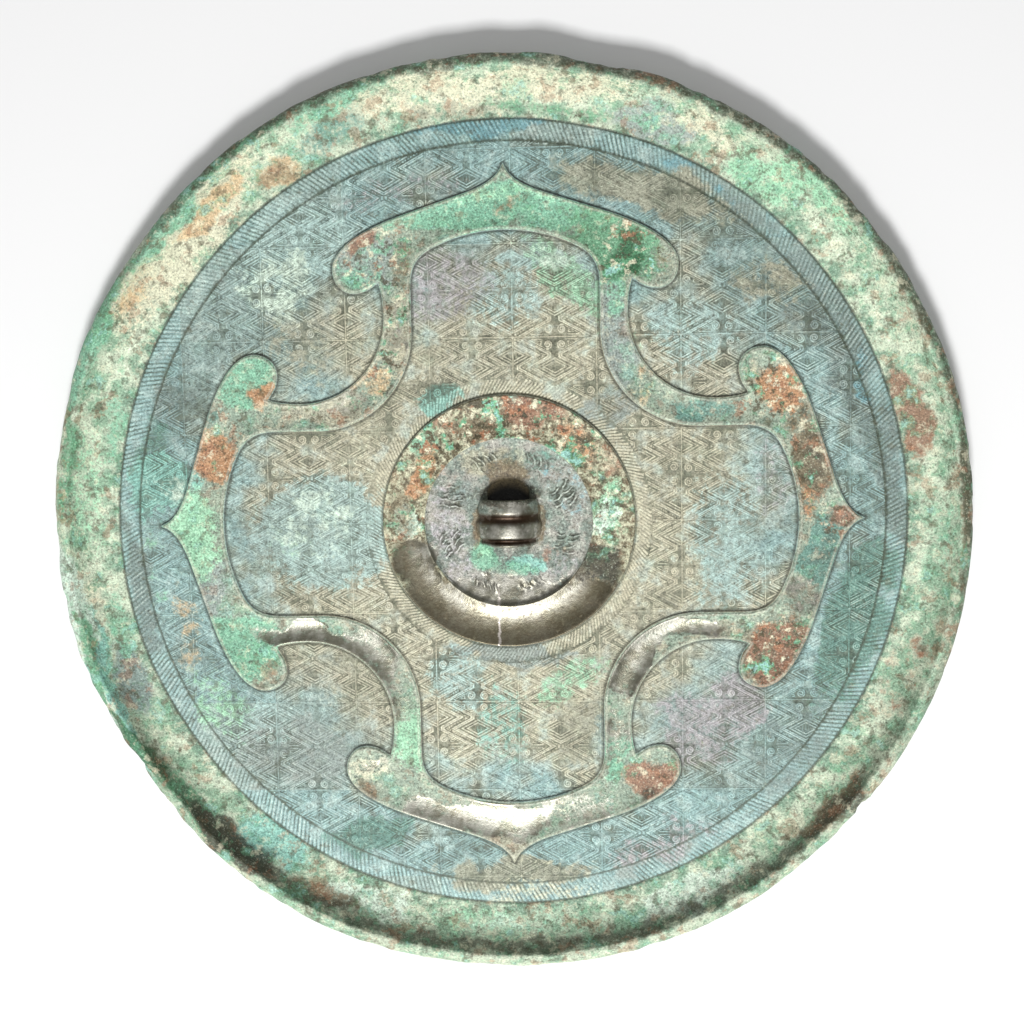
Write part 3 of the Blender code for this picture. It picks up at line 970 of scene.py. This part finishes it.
# Pigments of the crusts, from the lowest coat to the topmost; dark and brown also serve as painted shadow
# round the knob
PIGMENTS = (
    ("grey", shade(156, 168, 162)),
    ("haze", shade(178, 206, 200)),
    ("slate", shade(126, 144, 140)),
    ("lilac", shade(176, 170, 174)),
    ("tan", shade(172, 170, 148)),
    ("cream", shade(216, 214, 186)),
    ("ochre", shade(206, 178, 138)),
    ("teal", shade(104, 146, 134)),
    ("blue", shade(116, 164, 172)),
    ("turquoise", shade(140, 196, 182)),
    ("jade", shade(130, 186, 156)),
    ("mint", shade(160, 210, 174)),
    ("pale", shade(212, 230, 212)),
    ("green", shade(104, 158, 122)),
    ("deep_green", shade(52, 104, 68)),
    ("brown", shade(124, 110, 86)),
    ("rust", shade(150, 112, 90)),
    ("orange", shade(184, 136, 98)),
    ("dark", shade(62, 60, 48)),
)

# Where each pigment lies: middle x and y, half sizes, turn in degrees, strength
FIELD_PATCHES = {
    "haze": (
        (44, -4, 8, 14, 0, 0.6), (36, 36, 8, 6, 0, 0.6), (-40, 55, 12, 8, 20, 0.8),
        (0, 44, 8, 6, 0, 0.55), (2, 52, 6, 3, -10, 0.7), (-38, -2, 13, 11, 0, 0.95),
        (-52, -40, 7, 5, 0, 0.5), (-12, -32, 5, 6, 0, 0.6), (52, -56, 8, 6, -45, 0.3),
    ),
    "lilac": (
        (52, 10, 5, 9, 0, 0.4), (36, -43, 8, 7, 0, 0.6), (46, -37, 6, 6, 0, 0.65),
        (30, -66, 12, 4, 20, 0.5), (-12, 48, 10, 7, 0, 0.55), (-20, 66, 14, 4, 12, 0.4),
    ),
    "grey": (
        (0, -26.6, 12, 2, 0, 0.8), (20, 22, 5, 9, -30, 0.5), (-45, -46, 12, 8, 0, 0.7),
        (28, -68, 12, 4, 20, 0.5),
    ),
    "slate": (
        (66, 30, 5, 16, 25, 0.8), (-15, 67, 12, 4, 8, 0.5), (60, 45, 8, 12, 40, 0.5),
        (45, 60, 10, 5, -35, 0.5), (-68, 24, 4, 8, 0, 0.6), (76, 8, 2.4, 16, 4, 0.8),
        (-76, -12, 2.4, 16, 8, 0.8), (56, -46, 9, 12, -40, 0.5), (-46, -44, 8, 8, 0, 0.35),
    ),
    "teal": (
        (68, -20, 5, 14, -15, 1.25), (-72, 16, 3, 6, 0, 0.6), (-28, -64, 8, 3.4, 18, 0.95),
        (64, -36, 5, 7, -30, 0.4),
    ),
    "tan": (
        (28, 64, 16, 5, -18, 0.9), (52, 46, 7, 5, 0, 0.6), (-40, 36, 12, 7, -20, 0.5),
        (-30, -30, 9, 8, 0, 0.5), (14, -44, 5, 6, 0, 0.7), (0, -72, 14, 3, 0, 0.9),
    ),
    "pale": (
        (-45, 47, 7, 8, 0, 0.6), (10, 51, 8, 3, -35, 0.4), (-69, 6, 3, 4, 0, 0.45),
        (-40, 1, 8, 7, 0, 0.45),
    ),
    "mint": (
        (14, 47, 14, 4, -40, 0.6), (-45, -4, 4, 4, 0, 0.35), (-60, -38, 5, 8, 30, 0.5),
        (12, -32, 9, 4, 15, 0.55),
    ),
    "turquoise": ((-70, 8, 5, 6, 0, 0.95), (-3, -40, 5, 9, 0, 0.5), (-14, 24.5, 5, 3, 30, 0.8)),
    "ochre": ((-66, -22, 4, 9, 0, 0.45),),
    "cream": ((5, -70, 8, 2, 0, 0.35), (4, -76.4, 12, 2.4, 0, 0.5)),
    "blue": ((-5, 76.6, 14, 2, 2, 0.85), (38, 67, 9, 2, -30, 0.5), (70, 27, 1.6, 8, 20, 0.6)),
    "jade": ((-72, -8, 2.4, 12, 0, 0.35),),
}
BAND_PATCHES = {
    "jade": (
        (-2, 62, 30, 5, 0, 0.9), (-52, 29, 6, 7, 0, 0.9), (-54, -25, 7.5, 7, 0, 0.95),
        (21.5, -49, 2.6, 5, 0, 0.8), (-30, 51, 5, 4, 0, 0.5), (50, -31, 3, 3, 0, 0.35),
        (23, 44, 3, 4, 0, 0.6),
    ),
    "green": ((3, 61, 5, 3, 0, 0.4), (22, 54, 10, 7, -35, 0.8), (-54, -27, 5, 4, 0, 0.4)),
    "mint": (
        (1, 64, 14, 2.4, 0, 0.5), (-64, -3, 6, 8, 0, 0.95), (-52, -22, 3, 3, 0, 0.4),
        (-22, -44, 3.4, 8, 0, 0.7),
    ),
    "turquoise": ((0, 62, 20, 3, 0, 0.55), (-64, 7, 4, 5, 0, 0.6)),
    "brown": (
        (0, 60.5, 2.4, 1.5, 0, 0.5), (31, 49, 3, 3.4, 0, 0.45), (-21.5, 51, 2.4, 3, 0, 0.55),
        (-29, -56, 6, 2.2, -25, 0.7), (53, -27, 7, 7, 0, 0.9), (59, 11, 4, 6, 10, 0.95),
        (57, 19, 4, 5, 15, 0.55),
    ),
    "deep_green": ((24, 49.5, 4, 4, 0, 0.85),),
    "grey": ((-29, 52, 6, 5, 0, 0.7), (-60, -13, 4, 6, 20, 0.7), (22, 38, 3.6, 9, 0, 0.8)),
    "rust": (
        (-28, 55.5, 4, 2, 25, 0.75), (-49, -31, 3.6, 2.6, 0, 0.35), (30, -52, 5.5, 5, 0, 0.75),
        (53, -27, 8, 7.5, 0, 0.6), (66, 1, 3.6, 3.2, 0, 0.7),
    ),
    "tan": (
        (-22, 39, 4, 9, 0, 0.8), (-37, 22.5, 8, 3, 0, 0.8), (0, -67, 5, 3.4, 0, 0.8),
        (44, -23, 5, 3.4, 0, 0.7), (48, 30, 3, 3, 0, 0.6),
    ),
    "ochre": ((-27, 28.5, 5, 4, 45, 0.55), (27, 27.5, 5, 4, -40, 0.4)),
    "orange": (
        (-48.5, 25, 3.4, 2, 0, 0.75), (-58, 13, 5, 4.6, 25, 0.85), (58, 4, 2.4, 3.4, 0, 0.55),
        (53, 26, 5, 6, 10, 0.75),
    ),
    "teal": ((-60, 21, 3, 4, 0, 0.6), (62, -5, 4, 6, 0, 1.1), (39, 22.5, 7, 3, 0, 0.7)),
    "cream": ((-31, -50, 4.6, 4, 0, 0.55),),
    "dark": (
        (26, -57, 6, 2, 25, 0.5), (58.5, -14, 4, 5, -15, 0.5), (62, -6, 3, 4, 0, 0.4),
        (59, 10, 3, 5, 0, 0.38), (53, -27, 5, 5, 0, 0.3),
    ),
    "crust": (
        (53, -27, 9, 8, 0, 0.9), (53, 26, 8, 9, 0, 0.9), (57, 12, 6, 12, 0, 0.7),
        (-22, 36, 8, 14, 0, 0.8), (-35, 22, 12, 5, 0, 0.6), (-27, 53, 9, 6, 0, 0.7),
        (25, 51, 9, 7, 0, 0.8), (66, 0, 5, 5, 0, 0.8), (31, -51, 7, 6, 0, 0.6), (-57, 15, 7, 9, 0, 0.6),
        (-50, -28, 6, 6, 0, 0.4),
    ),
}
BORDER_PATCHES = {
    "cream": (
        (-62, 56, 20, 4.6, 48, 0.85), (0, 84, 26, 2.8, 0, 0.66), (-22, 81, 9, 2.4, 15, 0.6),
        (40, 74, 8, 2, -28, 0.6), (36, -76, 12, 3, 26, 0.5), (-85, -14, 6, 2, -80, 0.5),
    ),
    "ochre": ((-57, 62.5, 8, 2.2, 44, 0.85), (-44, 69.5, 4, 2.4, 30, 0.7), (-72, 47, 8, 3, 58, 0.45)),
    "brown": (
        (-45, 69, 3.6, 2.4, 30, 0.5), (80, 8, 2.4, 7, 5, 0.4), (82, -24, 12, 1.6, 73, 0.4),
        (88, 10, 1.5, 22, 0, 0.7), (63, -58, 8, 1.6, 46, 0.8), (44, -73, 8, 1.8, 32, 0.35),
        (-38, -76, 10, 1.6, -26, 0.6),
    ),
    "teal": ((-34, 76, 9, 3, 24, 0.55),),
    "grey": ((30, 76.5, 10, 3, -22, 0.7),),
    "mint": (
        (51, 66, 9, 3, -38, 0.7), (-8, -81, 8, 2, 5, 0.5), (-84, 8, 14, 3, 88, 0.45),
        (60, 62, 12, 1.6, -44, 0.6),
    ),
    "rust": ((78.5, 21, 2.6, 9, 14, 0.8), (78, 40, 3, 6, 27, 0.35), (77, -30, 10, 3, 68, 0.4)),
    "green": (
        (84, 34, 2, 8, 22, 0.5), (10, 79.8, 16, 1.2, -5, 0.5), (64, -54, 12, 3, 50, 0.35),
        (-84.5, -27, 12, 1.4, -73, 0.8), (-66, -56, 9, 1.8, -51, 0.8), (-76, 46, 12, 2.2, 58, 0.5),
        (-87.5, 14, 14, 1.6, 82, 0.6), (-50, 74, 12, 1.6, 34, 0.7),
    ),
    "jade": (
        (84, -8, 3, 14, -6, 0.4), (30, 77, 8, 3, -22, 0.35), (0, -82, 22, 3.4, 0, 0.4),
        (-81, 36, 14, 2.2, 66, 0.75), (-65, 60, 12, 1.6, 47, 0.7), (-79, 20, 9, 2, 76, 0.5),
        (-30, 82, 12, 2, 20, 0.6), (-80, -20, 8, 2.4, -76, 0.5),
    ),
    "dark": ((66, -56, 5, 2.2, 50, 0.6), (-57, -63.5, 10, 2.4, -42, 0.95)),
    "tan": ((-10, 80, 14, 2, 5, 0.5),),
    "pale": (
        (35, -75.5, 11, 2.8, 25, 0.85), (-30, -77, 10, 3, -20, 0.6), (0, -82, 14, 2.4, 0, 0.3),
        (-88, -17, 14, 2.4, -79, 1.3), (-82.5, -36, 9, 2.2, -66, 1.2),
    ),
    "turquoise": (
        (-49, -65, 8, 3.4, -38, 0.9), (-86, -24, 16, 3, -74, 1.3), (-80, -38, 12, 2.6, -65, 1.2),
        (-70, 20, 12, 3, 80, 0.3),
    ),
    "deep_green": ((-75, -46, 8, 2, -58, 0.8), (-78, -42, 7, 1.4, -61, 0.8)),
    "slate": ((-77, -30, 9, 3, -68, 0.7),),
}
RING_PATCHES = {
    "rust": (
        (5, 21.5, 7, 3, 0, 0.75), (-17.5, 8.5, 2, 3, 0, 0.6), (21, 10, 3, 4, 20, 0.45),
        (-13, 20, 3, 2, 0, 0.5),
    ),
    "brown": ((-6, 19, 4.6, 2.4, 10, 0.8), (-22, 2, 3, 6, 0, 0.5)),
    "orange": ((-17, 10, 3, 5, -20, 0.9), (14, 16, 5, 4, -40, 0.5)),
    "jade": ((-16, 16, 4, 3.4, 40, 0.6), (-21, 0, 3.4, 4, 0, 0.5)),
    "mint": ((20, 3, 3.4, 6, 0, 0.6),),
    "pale": ((20, 1, 3, 5, 0, 0.6), (-21, 1, 3, 4, 0, 0.55)),
    "dark": ((18.5, -9.5, 4, 5, -25, 1.0),),
    "turquoise": ((2, 23.8, 7, 1, 0, 0.5),),
    "crust": ((0, 19, 24, 12, 0, 1.0), (20, 2, 5, 8, 0, 0.7), (-20, 0, 5, 8, 0, 0.7)),
}
MIDDLE_PATCHES = {
    # The dark patch is painted shadow of the knob over the mouth of the cord hole; the first brown patch is
    # that shadow's soft far edge, and the next two brown patches are painted shade along the knob's sides.
    "dark": ((0, 6.0, 6.0, 2.0, 0, 1.2),),
    "brown": (
        (0, 9.6, 4.4, 2.6, 0, 0.8), (-6.9, -1, 0.9, 4.4, 0, 0.8), (6.9, 0, 0.9, 4.4, 0, 0.8),
        (11, -6, 2.4, 1.6, 0, 0.4),
    ),
    "rust": ((-10, 9, 3, 2.4, 40, 0.3), (8, -7, 1.6, 1.6, 0, 0.6), (9, -6.5, 3, 2, 0, 0.4)),
    "blue": ((11, 8, 5, 6, 0, 0.3), (13, 5, 3, 5, 0, 0.35)),
    "tan": ((0, 12.5, 4, 2.4, 0, 0.6), (-6, 12, 4, 3, 0, 0.6)),
    "jade": ((-5.5, -7, 2.4, 3, 0, 0.9), (0, -9.5, 6, 1.6, 0, 0.6)),
    "mint": ((-5.5, -6.5, 1.6, 2, 0, 0.5),),
    "turquoise": ((3, -8.6, 5, 2, 0, 0.8),),
    "lilac": (
        (-12, -2, 4, 6, 0, 0.5), (-13, 4, 3, 5, 0, 0.4), (10, -9, 5, 4, 0, 0.4),
        (-8, -10, 6, 4, 0, 0.45),
    ),
    "slate": ((-9, 6, 2, 3, 0, 0.5),),
    "teal": ((7, 12, 4, 3, 0, 0.4),),
}
BARE_SPOTS = {
    "bare": (
        (0, -21, 26, 9, 0, 1.0), (-18, -9, 4, 7, 25, 0.9), (-41, -22.5, 11, 3, -3, 0.95),
        (-27, -28, 6, 4, -45, 0.9), (-24, -36, 3, 5, 0, 0.5), (-9, -60.5, 17, 4.4, 4, 0.95),
        (14, -59, 9, 4, 12, 0.5), (24.5, -29, 4, 8, -30, 0.85), (35, -22.5, 8, 3, 8, 0.85),
        (20, -44, 3, 6, 0, 0.5), (0, 0, 7, 5, 0, 0.9), (-30, -49, 4, 2, 0, 0.5),
        (-33, 24, 7, 2, -10, 0.45), (-22, 40, 2, 7, 0, 0.45), (58, -13, 3.4, 4, 0, 0.5),
    ),
}


def patina():
    """Buried high-tin bronze: mottled crusts over dull grey metal."""
    finish = Finish("patinated_bronze_back")
    place = finish.node("ShaderNodeTexCoord").outputs["Object"]
    spot = finish.node("ShaderNodeVectorMath", place, (1000, 1000, 1000), operation="MULTIPLY").outputs[0]
    broad = finish.mottle(spot, 15, 3.0, 0.5)
    middling = finish.mottle(spot, 4.2, 4.0, 0.6, shift=(13, 5, 2))
    small = finish.mottle(spot, 1.3, 4.0, 0.65, shift=(3, 25, 8))
    grain = finish.mottle(spot, 0.42, 3.0, 0.7, shift=(31, 7, 1))
    fray = finish.times(finish.maths("SUBTRACT", small, 0.5), 1.3)
    fray = finish.stray(fray, grain, 0.5)
    coarse_fray = finish.times(finish.maths("SUBTRACT", middling, 0.5), 1.3)
    coarse_fray = finish.maths("MULTIPLY_ADD", fray, 0.7, coarse_fray)
    parts = finish.node("ShaderNodeSeparateXYZ", spot).outputs
    radius = finish.stored("reach")
    depth = finish.stored("band_depth")
    relief = finish.stored("relief")

    # Colours of the ground, band, border, ring and middle
    far_out = finish.stray(radius, broad, 70.0)
    far_out = finish.stray(far_out, middling, 26.0)
    field = finish.blend(finish.spread(far_out, 42, 64), shade(204, 199, 173), shade(153, 186, 184))
    field = finish.blend(finish.spread(middling, 0.5, 0.66, 0.0, 0.5), field, shade(198, 218, 210))
    tile = finish.node("ShaderNodeVectorMath", spot, (-STAMP_LEFT, 0, 0), operation="ADD").outputs[0]
    stamp = (STAMP_WIDTH, STAMP_HEIGHT, 100)
    tile = finish.node("ShaderNodeVectorMath", tile, stamp, operation="DIVIDE").outputs[0]
    tile = finish.node("ShaderNodeVectorMath", tile, operation="FLOOR").outputs[0]
    luck = finish.node("ShaderNodeTexWhiteNoise", tile).outputs["Value"]
    field = finish.blend(finish.spread(luck, 0.3, 1.0, 0.0, 0.28), field, shade(172, 168, 150))

    band = finish.blend(finish.spread(middling, 0.4, 0.62), shade(146, 164, 146), shade(166, 178, 158))
    border = finish.blend(finish.spread(middling, 0.4, 0.58), shade(148, 180, 152), shade(208, 220, 194))
    inner = finish.times(finish.spread(radius, 82.0, 79.6), finish.spread(middling, 0.6, 0.4, 0.15, 0.75))
    border = finish.blend(inner, border, shade(112, 142, 122))
    ring = finish.blend(finish.spread(small, 0.42, 0.58), shade(128, 118, 92), shade(186, 186, 158))
    middle = finish.blend(finish.spread(middling, 0.42, 0.6), shade(132, 144, 134), shade(176, 174, 164))

    colour = finish.blend(finish.spread(depth, -0.2, 0.0), field, band)
    colour = finish.blend(finish.spread(radius, 78.6, 78.8), colour, border)
    colour = finish.blend(finish.spread(radius, 25.3, 25.1), colour, ring)
    colour = finish.blend(finish.spread(radius, 16.85, 16.7), colour, middle)

    # Corrosion patches, with painted shadow patches round the knob among them; the dark lip, crust with
    # painted shade; the painted shadow inside the lip; the dark lines at the edges of the hatched rings
    for number, (name, pigment) in enumerate(PIGMENTS):
        mask = finish.pigment(name, fray if number % 2 else coarse_fray)
        colour = finish.blend(mask, colour, pigment)
    ragged = finish.stray(radius, middling, 7.0)
    # The lip's dark crust, made darker towards +Y as painted shade on the side of the lip that faces away
    # from the key light.
    lip = finish.times(finish.spread(ragged, 87.2, 88.8), finish.spread(small, 0.3, 0.6, 0.45, 0.95))
    lip = finish.times(lip, finish.spread(parts["Y"], -60, 10, 0.3, 1.0))
    lip = finish.times(lip, finish.spread(parts["X"], -84, -56, 0.08, 1.0))
    colour = finish.blend(lip, colour, shade(70, 78, 58))
    # Painted shadow just inside the lip's crest on the south side, where the lip's steep inner flank faces
    # away from the key light.
    from_lip_shadow = finish.gap(ragged, 86.5)
    lip_shadow = finish.times(finish.spread(from_lip_shadow, 1.6, 0.3, 0.0, 0.7),
                          finish.spread(parts["Y"], -20, -66))
    colour = finish.blend(lip_shadow, colour, shade(60, 56, 40))
    # Darker along the grooves at the edges of the hatched rings.
    from_line = finish.smaller(finish.gap(radius, 78.68), finish.gap(radius, FIELD - 0.1))
    from_line = finish.smaller(from_line, finish.gap(radius, 25.3))
    colour = finish.blend(finish.spread(from_line, 0.42, 0.1, 0.0, 0.65), colour, shade(60, 66, 56))

    # Grainy crusts, speckle, pits and stains
    crust = finish.stored("crust")
    crust = finish.larger(crust, finish.spread(radius, 78.6, 78.9, 0.0, 0.45))
    crust = finish.larger(crust, finish.spread(depth, -0.1, 0.1, 0.06, 0.3))
    coarse = finish.mottle(spot, 4.4, 4.0, 0.68, shift=(31, 90, 3))
    fine = finish.mottle(spot, 2.6, 4.0, 0.68, shift=(17, 110, 3))
    for seen, low, high, speck in (
            (coarse, 0.53, 0.61, shade(110, 172, 132)), (coarse, 0.44, 0.37, shade(164, 116, 86)),
            (fine, 0.46, 0.38, shade(80, 72, 50)), (fine, 0.55, 0.64, shade(226, 222, 192)),
            (coarse, 0.61, 0.66, shade(156, 206, 196))):
        colour = finish.blend(finish.times(finish.spread(seen, low, high), crust), colour, speck)
    speckle = finish.spread(grain, 0.56, 0.72, 0.0, 0.35)
    colour = finish.blend(speckle, colour, shade(212, 226, 208))
    pits = finish.spread(grain, 0.44, 0.3, 0.0, 0.5)
    colour = finish.blend(pits, colour, shade(78, 86, 66))
    stains = finish.spread(fine, 0.42, 0.32, 0.0, 0.45)
    colour = finish.blend(stains, colour, shade(104, 98, 74))

    # Fine relief: darker valleys and lighter crests, partly soil and rubbing and partly painted shade and
    # painted highlight; the darker foot of the band, grime with painted shade; the worn edge of the band
    filled = finish.times(finish.spread(middling, 0.62, 0.42, 0.45, 1.12),
                          finish.spread(broad, 0.64, 0.44, 0.6, 1.1))
    # Valleys darker and crests lighter: soil in the valleys and rubbed crests, and also painted shade and
    # painted highlight that sharpen the fine relief.
    valley = finish.times(finish.spread(relief, 0.5, 0.0, 0.0, 0.64), filled)
    colour = finish.blend(valley, colour, shade(78, 86, 70))
    crest = finish.times(finish.spread(relief, 0.5, 0.9, 0.0, 0.44), filled)
    colour = finish.blend(crest, colour, shade(228, 236, 222))
    carved = finish.times(finish.spread(relief, 0.46, 0.1, 0.0, 0.42), finish.spread(radius, 16.6, 16.3))
    colour = finish.blend(carved, colour, shade(58, 54, 42))
    # Darker along the foot of the band: grime, and painted shade where the band's wall meets the ground.
    foot = finish.times(finish.spread(depth, -1.0, -0.3), finish.spread(depth, -0.10, -0.24, 0.0, 0.75))
    colour = finish.blend(foot, colour, shade(50, 54, 42))
    worn_edge = finish.times(finish.spread(depth, 0.0, 0.2), finish.spread(depth, 0.75, 0.35, 0.0, 0.4))
    colour = finish.blend(worn_edge, colour, shade(196, 198, 180))

    # Bare metal with painted shade on the ring's outer slope, the crack and the plain face
    bare = finish.pigment("bare", fray)
    open_metal = finish.larger(finish.spread(depth, 0.0, 0.2), finish.spread(radius, 25.2, 25.0))
    bare = finish.times(bare, open_metal)
    bare = finish.times(bare, finish.spread(small, 0.32, 0.46, 0.45, 1.0))
    metal = finish.blend(finish.spread(middling, 0.4, 0.62), shade(122, 118, 104), shade(168, 166, 156))
    # Painted shade on the ring's bared metal: darker on the outer slope of its hollow, which narrows the
    # highlight. The metal is also darker towards +X.
    outward = finish.spread(finish.stray(radius, middling, 4.0), 18.3, 22.3)
    outward = finish.larger(outward, finish.spread(parts["X"], 12.5, 16.5))
    brown_side = finish.times(outward, finish.spread(radius, 25.2, 25.0, 0.0, 0.85))
    metal = finish.blend(brown_side, metal, shade(90, 82, 64))
    crack = finish.maths("ABSOLUTE", finish.stray(finish.maths("ADD", parts["X"], 2.2), small, 1.6))
    crack = finish.times(finish.spread(crack, 0.34, 0.1, 0.0, 0.8), finish.spread(parts["Y"], -12, -16))
    crack = finish.times(crack, finish.spread(radius, 25.6, 25.0))
    face = finish.spread(parts["Z"], 1.0, 0.7)
    face_metal = finish.spread(middling, 0.56, 0.46, 0.0, 0.85)
    face_colour = finish.blend(finish.spread(broad, 0.4, 0.6), shade(120, 128, 116), shade(146, 164, 146))
    colour = finish.blend(face, colour, face_colour)
    bare = finish.blend(face, bare, face_metal)
    colour = finish.blend(bare, colour, metal)
    colour = finish.blend(crack, colour, shade(206, 198, 190))

    # Painted shade in the grooves of the knob, grit, and painted shadow in the mouth of the cord hole
    held = finish.gap(parts["Y"], 0.95)
    lower = finish.maths("ABSOLUTE", finish.maths("MULTIPLY_ADD", parts["Y"], 1.6, 5.6))
    held = finish.smaller(held, lower)
    on_knob = finish.times(finish.spread(parts["Z"], 2.9, 3.4), finish.spread(radius, 9.0, 8.4))
    # Painted shade: dark reddish brown in the grooves between the knob's strings.
    grooves = finish.times(on_knob, finish.spread(held, 1.5, 0.45, 0.0, 0.92))
    colour = finish.blend(grooves, colour, shade(64, 44, 30))
    grit = finish.times(finish.maths("SUBTRACT", grain, 0.485), 1.9)
    grit = finish.stray(grit, small, 1.25, 0.485)
    gritty = finish.larger(finish.spread(depth, -0.1, 0.1, 1.0, 1.35),
                           finish.spread(radius, 25.2, 25.0, 1.0, 1.45))
    grit = finish.times(grit, gritty)
    grit = finish.maths("MULTIPLY_ADD", grit, finish.spread(bare, 0.0, 1.0, 1.0, 0.15), 1.0)
    grit = finish.larger(grit, 0.45)
    # Painted shadow: the low trough floor in and beyond the cord hole is black near the knob and eases to
    # brown further along +Y, as the knob's cast shadow.
    hole_shadow = finish.times(finish.spread(parts["Z"], 2.0, 1.7), finish.spread(parts["Z"], 0.8, 1.1))
    hole_shadow = finish.times(hole_shadow, finish.spread(radius, 11.0, 10.4))
    hole_shadow = finish.times(hole_shadow, finish.spread(parts["Y"], -4.8, -3.8))
    arch = finish.maths("MULTIPLY_ADD", finish.times(parts["X"], parts["X"]), 0.1, parts["Y"])
    hole_shadow_colour = finish.blend(finish.spread(arch, 6.2, 8.6), shade(14, 13, 9), shade(118, 106, 80))
    colour = finish.blend(hole_shadow, colour, hole_shadow_colour)
    scaled = finish.node("ShaderNodeVectorMath", colour, operation="SCALE")
    finish.feed(scaled.inputs["Scale"], grit)
    colour = scaled.outputs[0]

    # Colour, shine and fine roughness
    finish.feed(finish.shader.inputs["Base Color"], colour)
    finish.feed(finish.shader.inputs["Metallic"], finish.spread(bare, 0.2, 0.9, 0.05, 0.9))
    rough = finish.spread(small, 0.3, 0.7, 0.5, 0.72)
    rough_metal = finish.spread(middling, 0.35, 0.65, 0.32, 0.46)
    finish.feed(finish.shader.inputs["Roughness"], finish.blend(bare, rough, rough_metal))
    bump = finish.node("ShaderNodeBump")
    bump.inputs["Strength"].default_value = 0.8
    bump.inputs["Distance"].default_value = 0.00022
    height = finish.maths("ADD", finish.times(small, 1.2), finish.times(grain, 0.8))
    smooth = finish.stored("bare")
    calm = finish.times(height, finish.spread(smooth, 0.35, 0.65, 1.0, 0.3))
    calm = finish.times(calm, finish.spread(parts["Z"], 0.7, 1.0, 0.3, 1.0))
    finish.feed(bump.inputs["Height"], calm)
    finish.feed(finish.shader.inputs["Normal"], bump.outputs[0])
    return finish.material


def make_camera():
    """Camera at the photograph's angle: nearly straight above, a little from the top and right."""
    data = bpy.data.cameras.new("camera")
    data.lens = 50.76
    data.sensor_width = 36
    data.shift_x = 0.0031
    data.shift_y = 0.0095
    data.clip_start = 0.01
    camera = bpy.data.objects.new("camera", data)
    bpy.context.scene.collection.objects.link(camera)
    back = Vector((0.0476, 0.1064, 0.9932)).normalized()
    side = Vector((0.01745, 0.99985, 0)).cross(back).normalized()
    up = back.cross(side)
    camera.matrix_world = Matrix.Translation(Vector((0, 0, 0.0021)) + 0.288 * back) @ Matrix(
        ((side.x, up.x, back.x), (side.y, up.y, back.y), (side.z, up.z, back.z))).to_4x4()
    bpy.context.scene.camera = camera


def make_light(name, place, aim, size, power):
    """One square area light, aimed at a point."""
    bpy.ops.object.light_add(type="AREA", location=place)
    light = bpy.context.object
    light.name = name
    light.data.size = size
    light.data.energy = power
    light.rotation_euler = (Vector(aim) - Vector(place)).to_track_quat("-Z", "Y").to_euler()
    light.select_set(False)


def make_studio():
    """Lights, plain surroundings and floor."""
    make_light("key_light", (-0.03, -0.52, 0.64), (0, 0, 0), 0.16, 7.1)
    make_light("top_fill_light", (0.1, 0.2, 0.9), (0, 0, 0), 0.8, 0.9)
    world = bpy.data.worlds.new("studio")
    bpy.context.scene.world = world
    world.use_nodes = True
    world.node_tree.nodes["Background"].inputs[0].default_value = (1, 1, 1, 1)
    world.node_tree.nodes["Background"].inputs[1].default_value = 0.29
    bpy.ops.mesh.primitive_plane_add(size=6, location=(0, 0, 0))
    floor = bpy.context.object
    floor.name = "floor"
    pale = bpy.data.materials.new("pale_floor")
    pale.use_nodes = True
    pale.node_tree.nodes["Principled BSDF"].inputs["Base Color"].default_value = (0.9, 0.9, 0.9, 1)
    pale.node_tree.nodes["Principled BSDF"].inputs["Roughness"].default_value = 0.9
    floor.data.materials.append(pale)
    floor.select_set(False)


make_camera()
make_studio()
bpy.context.scene.view_settings.view_transform = "Standard"
casting = make_casting()
casting.data.materials.append(patina())
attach(casting, "root")
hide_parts("disc", "knob")
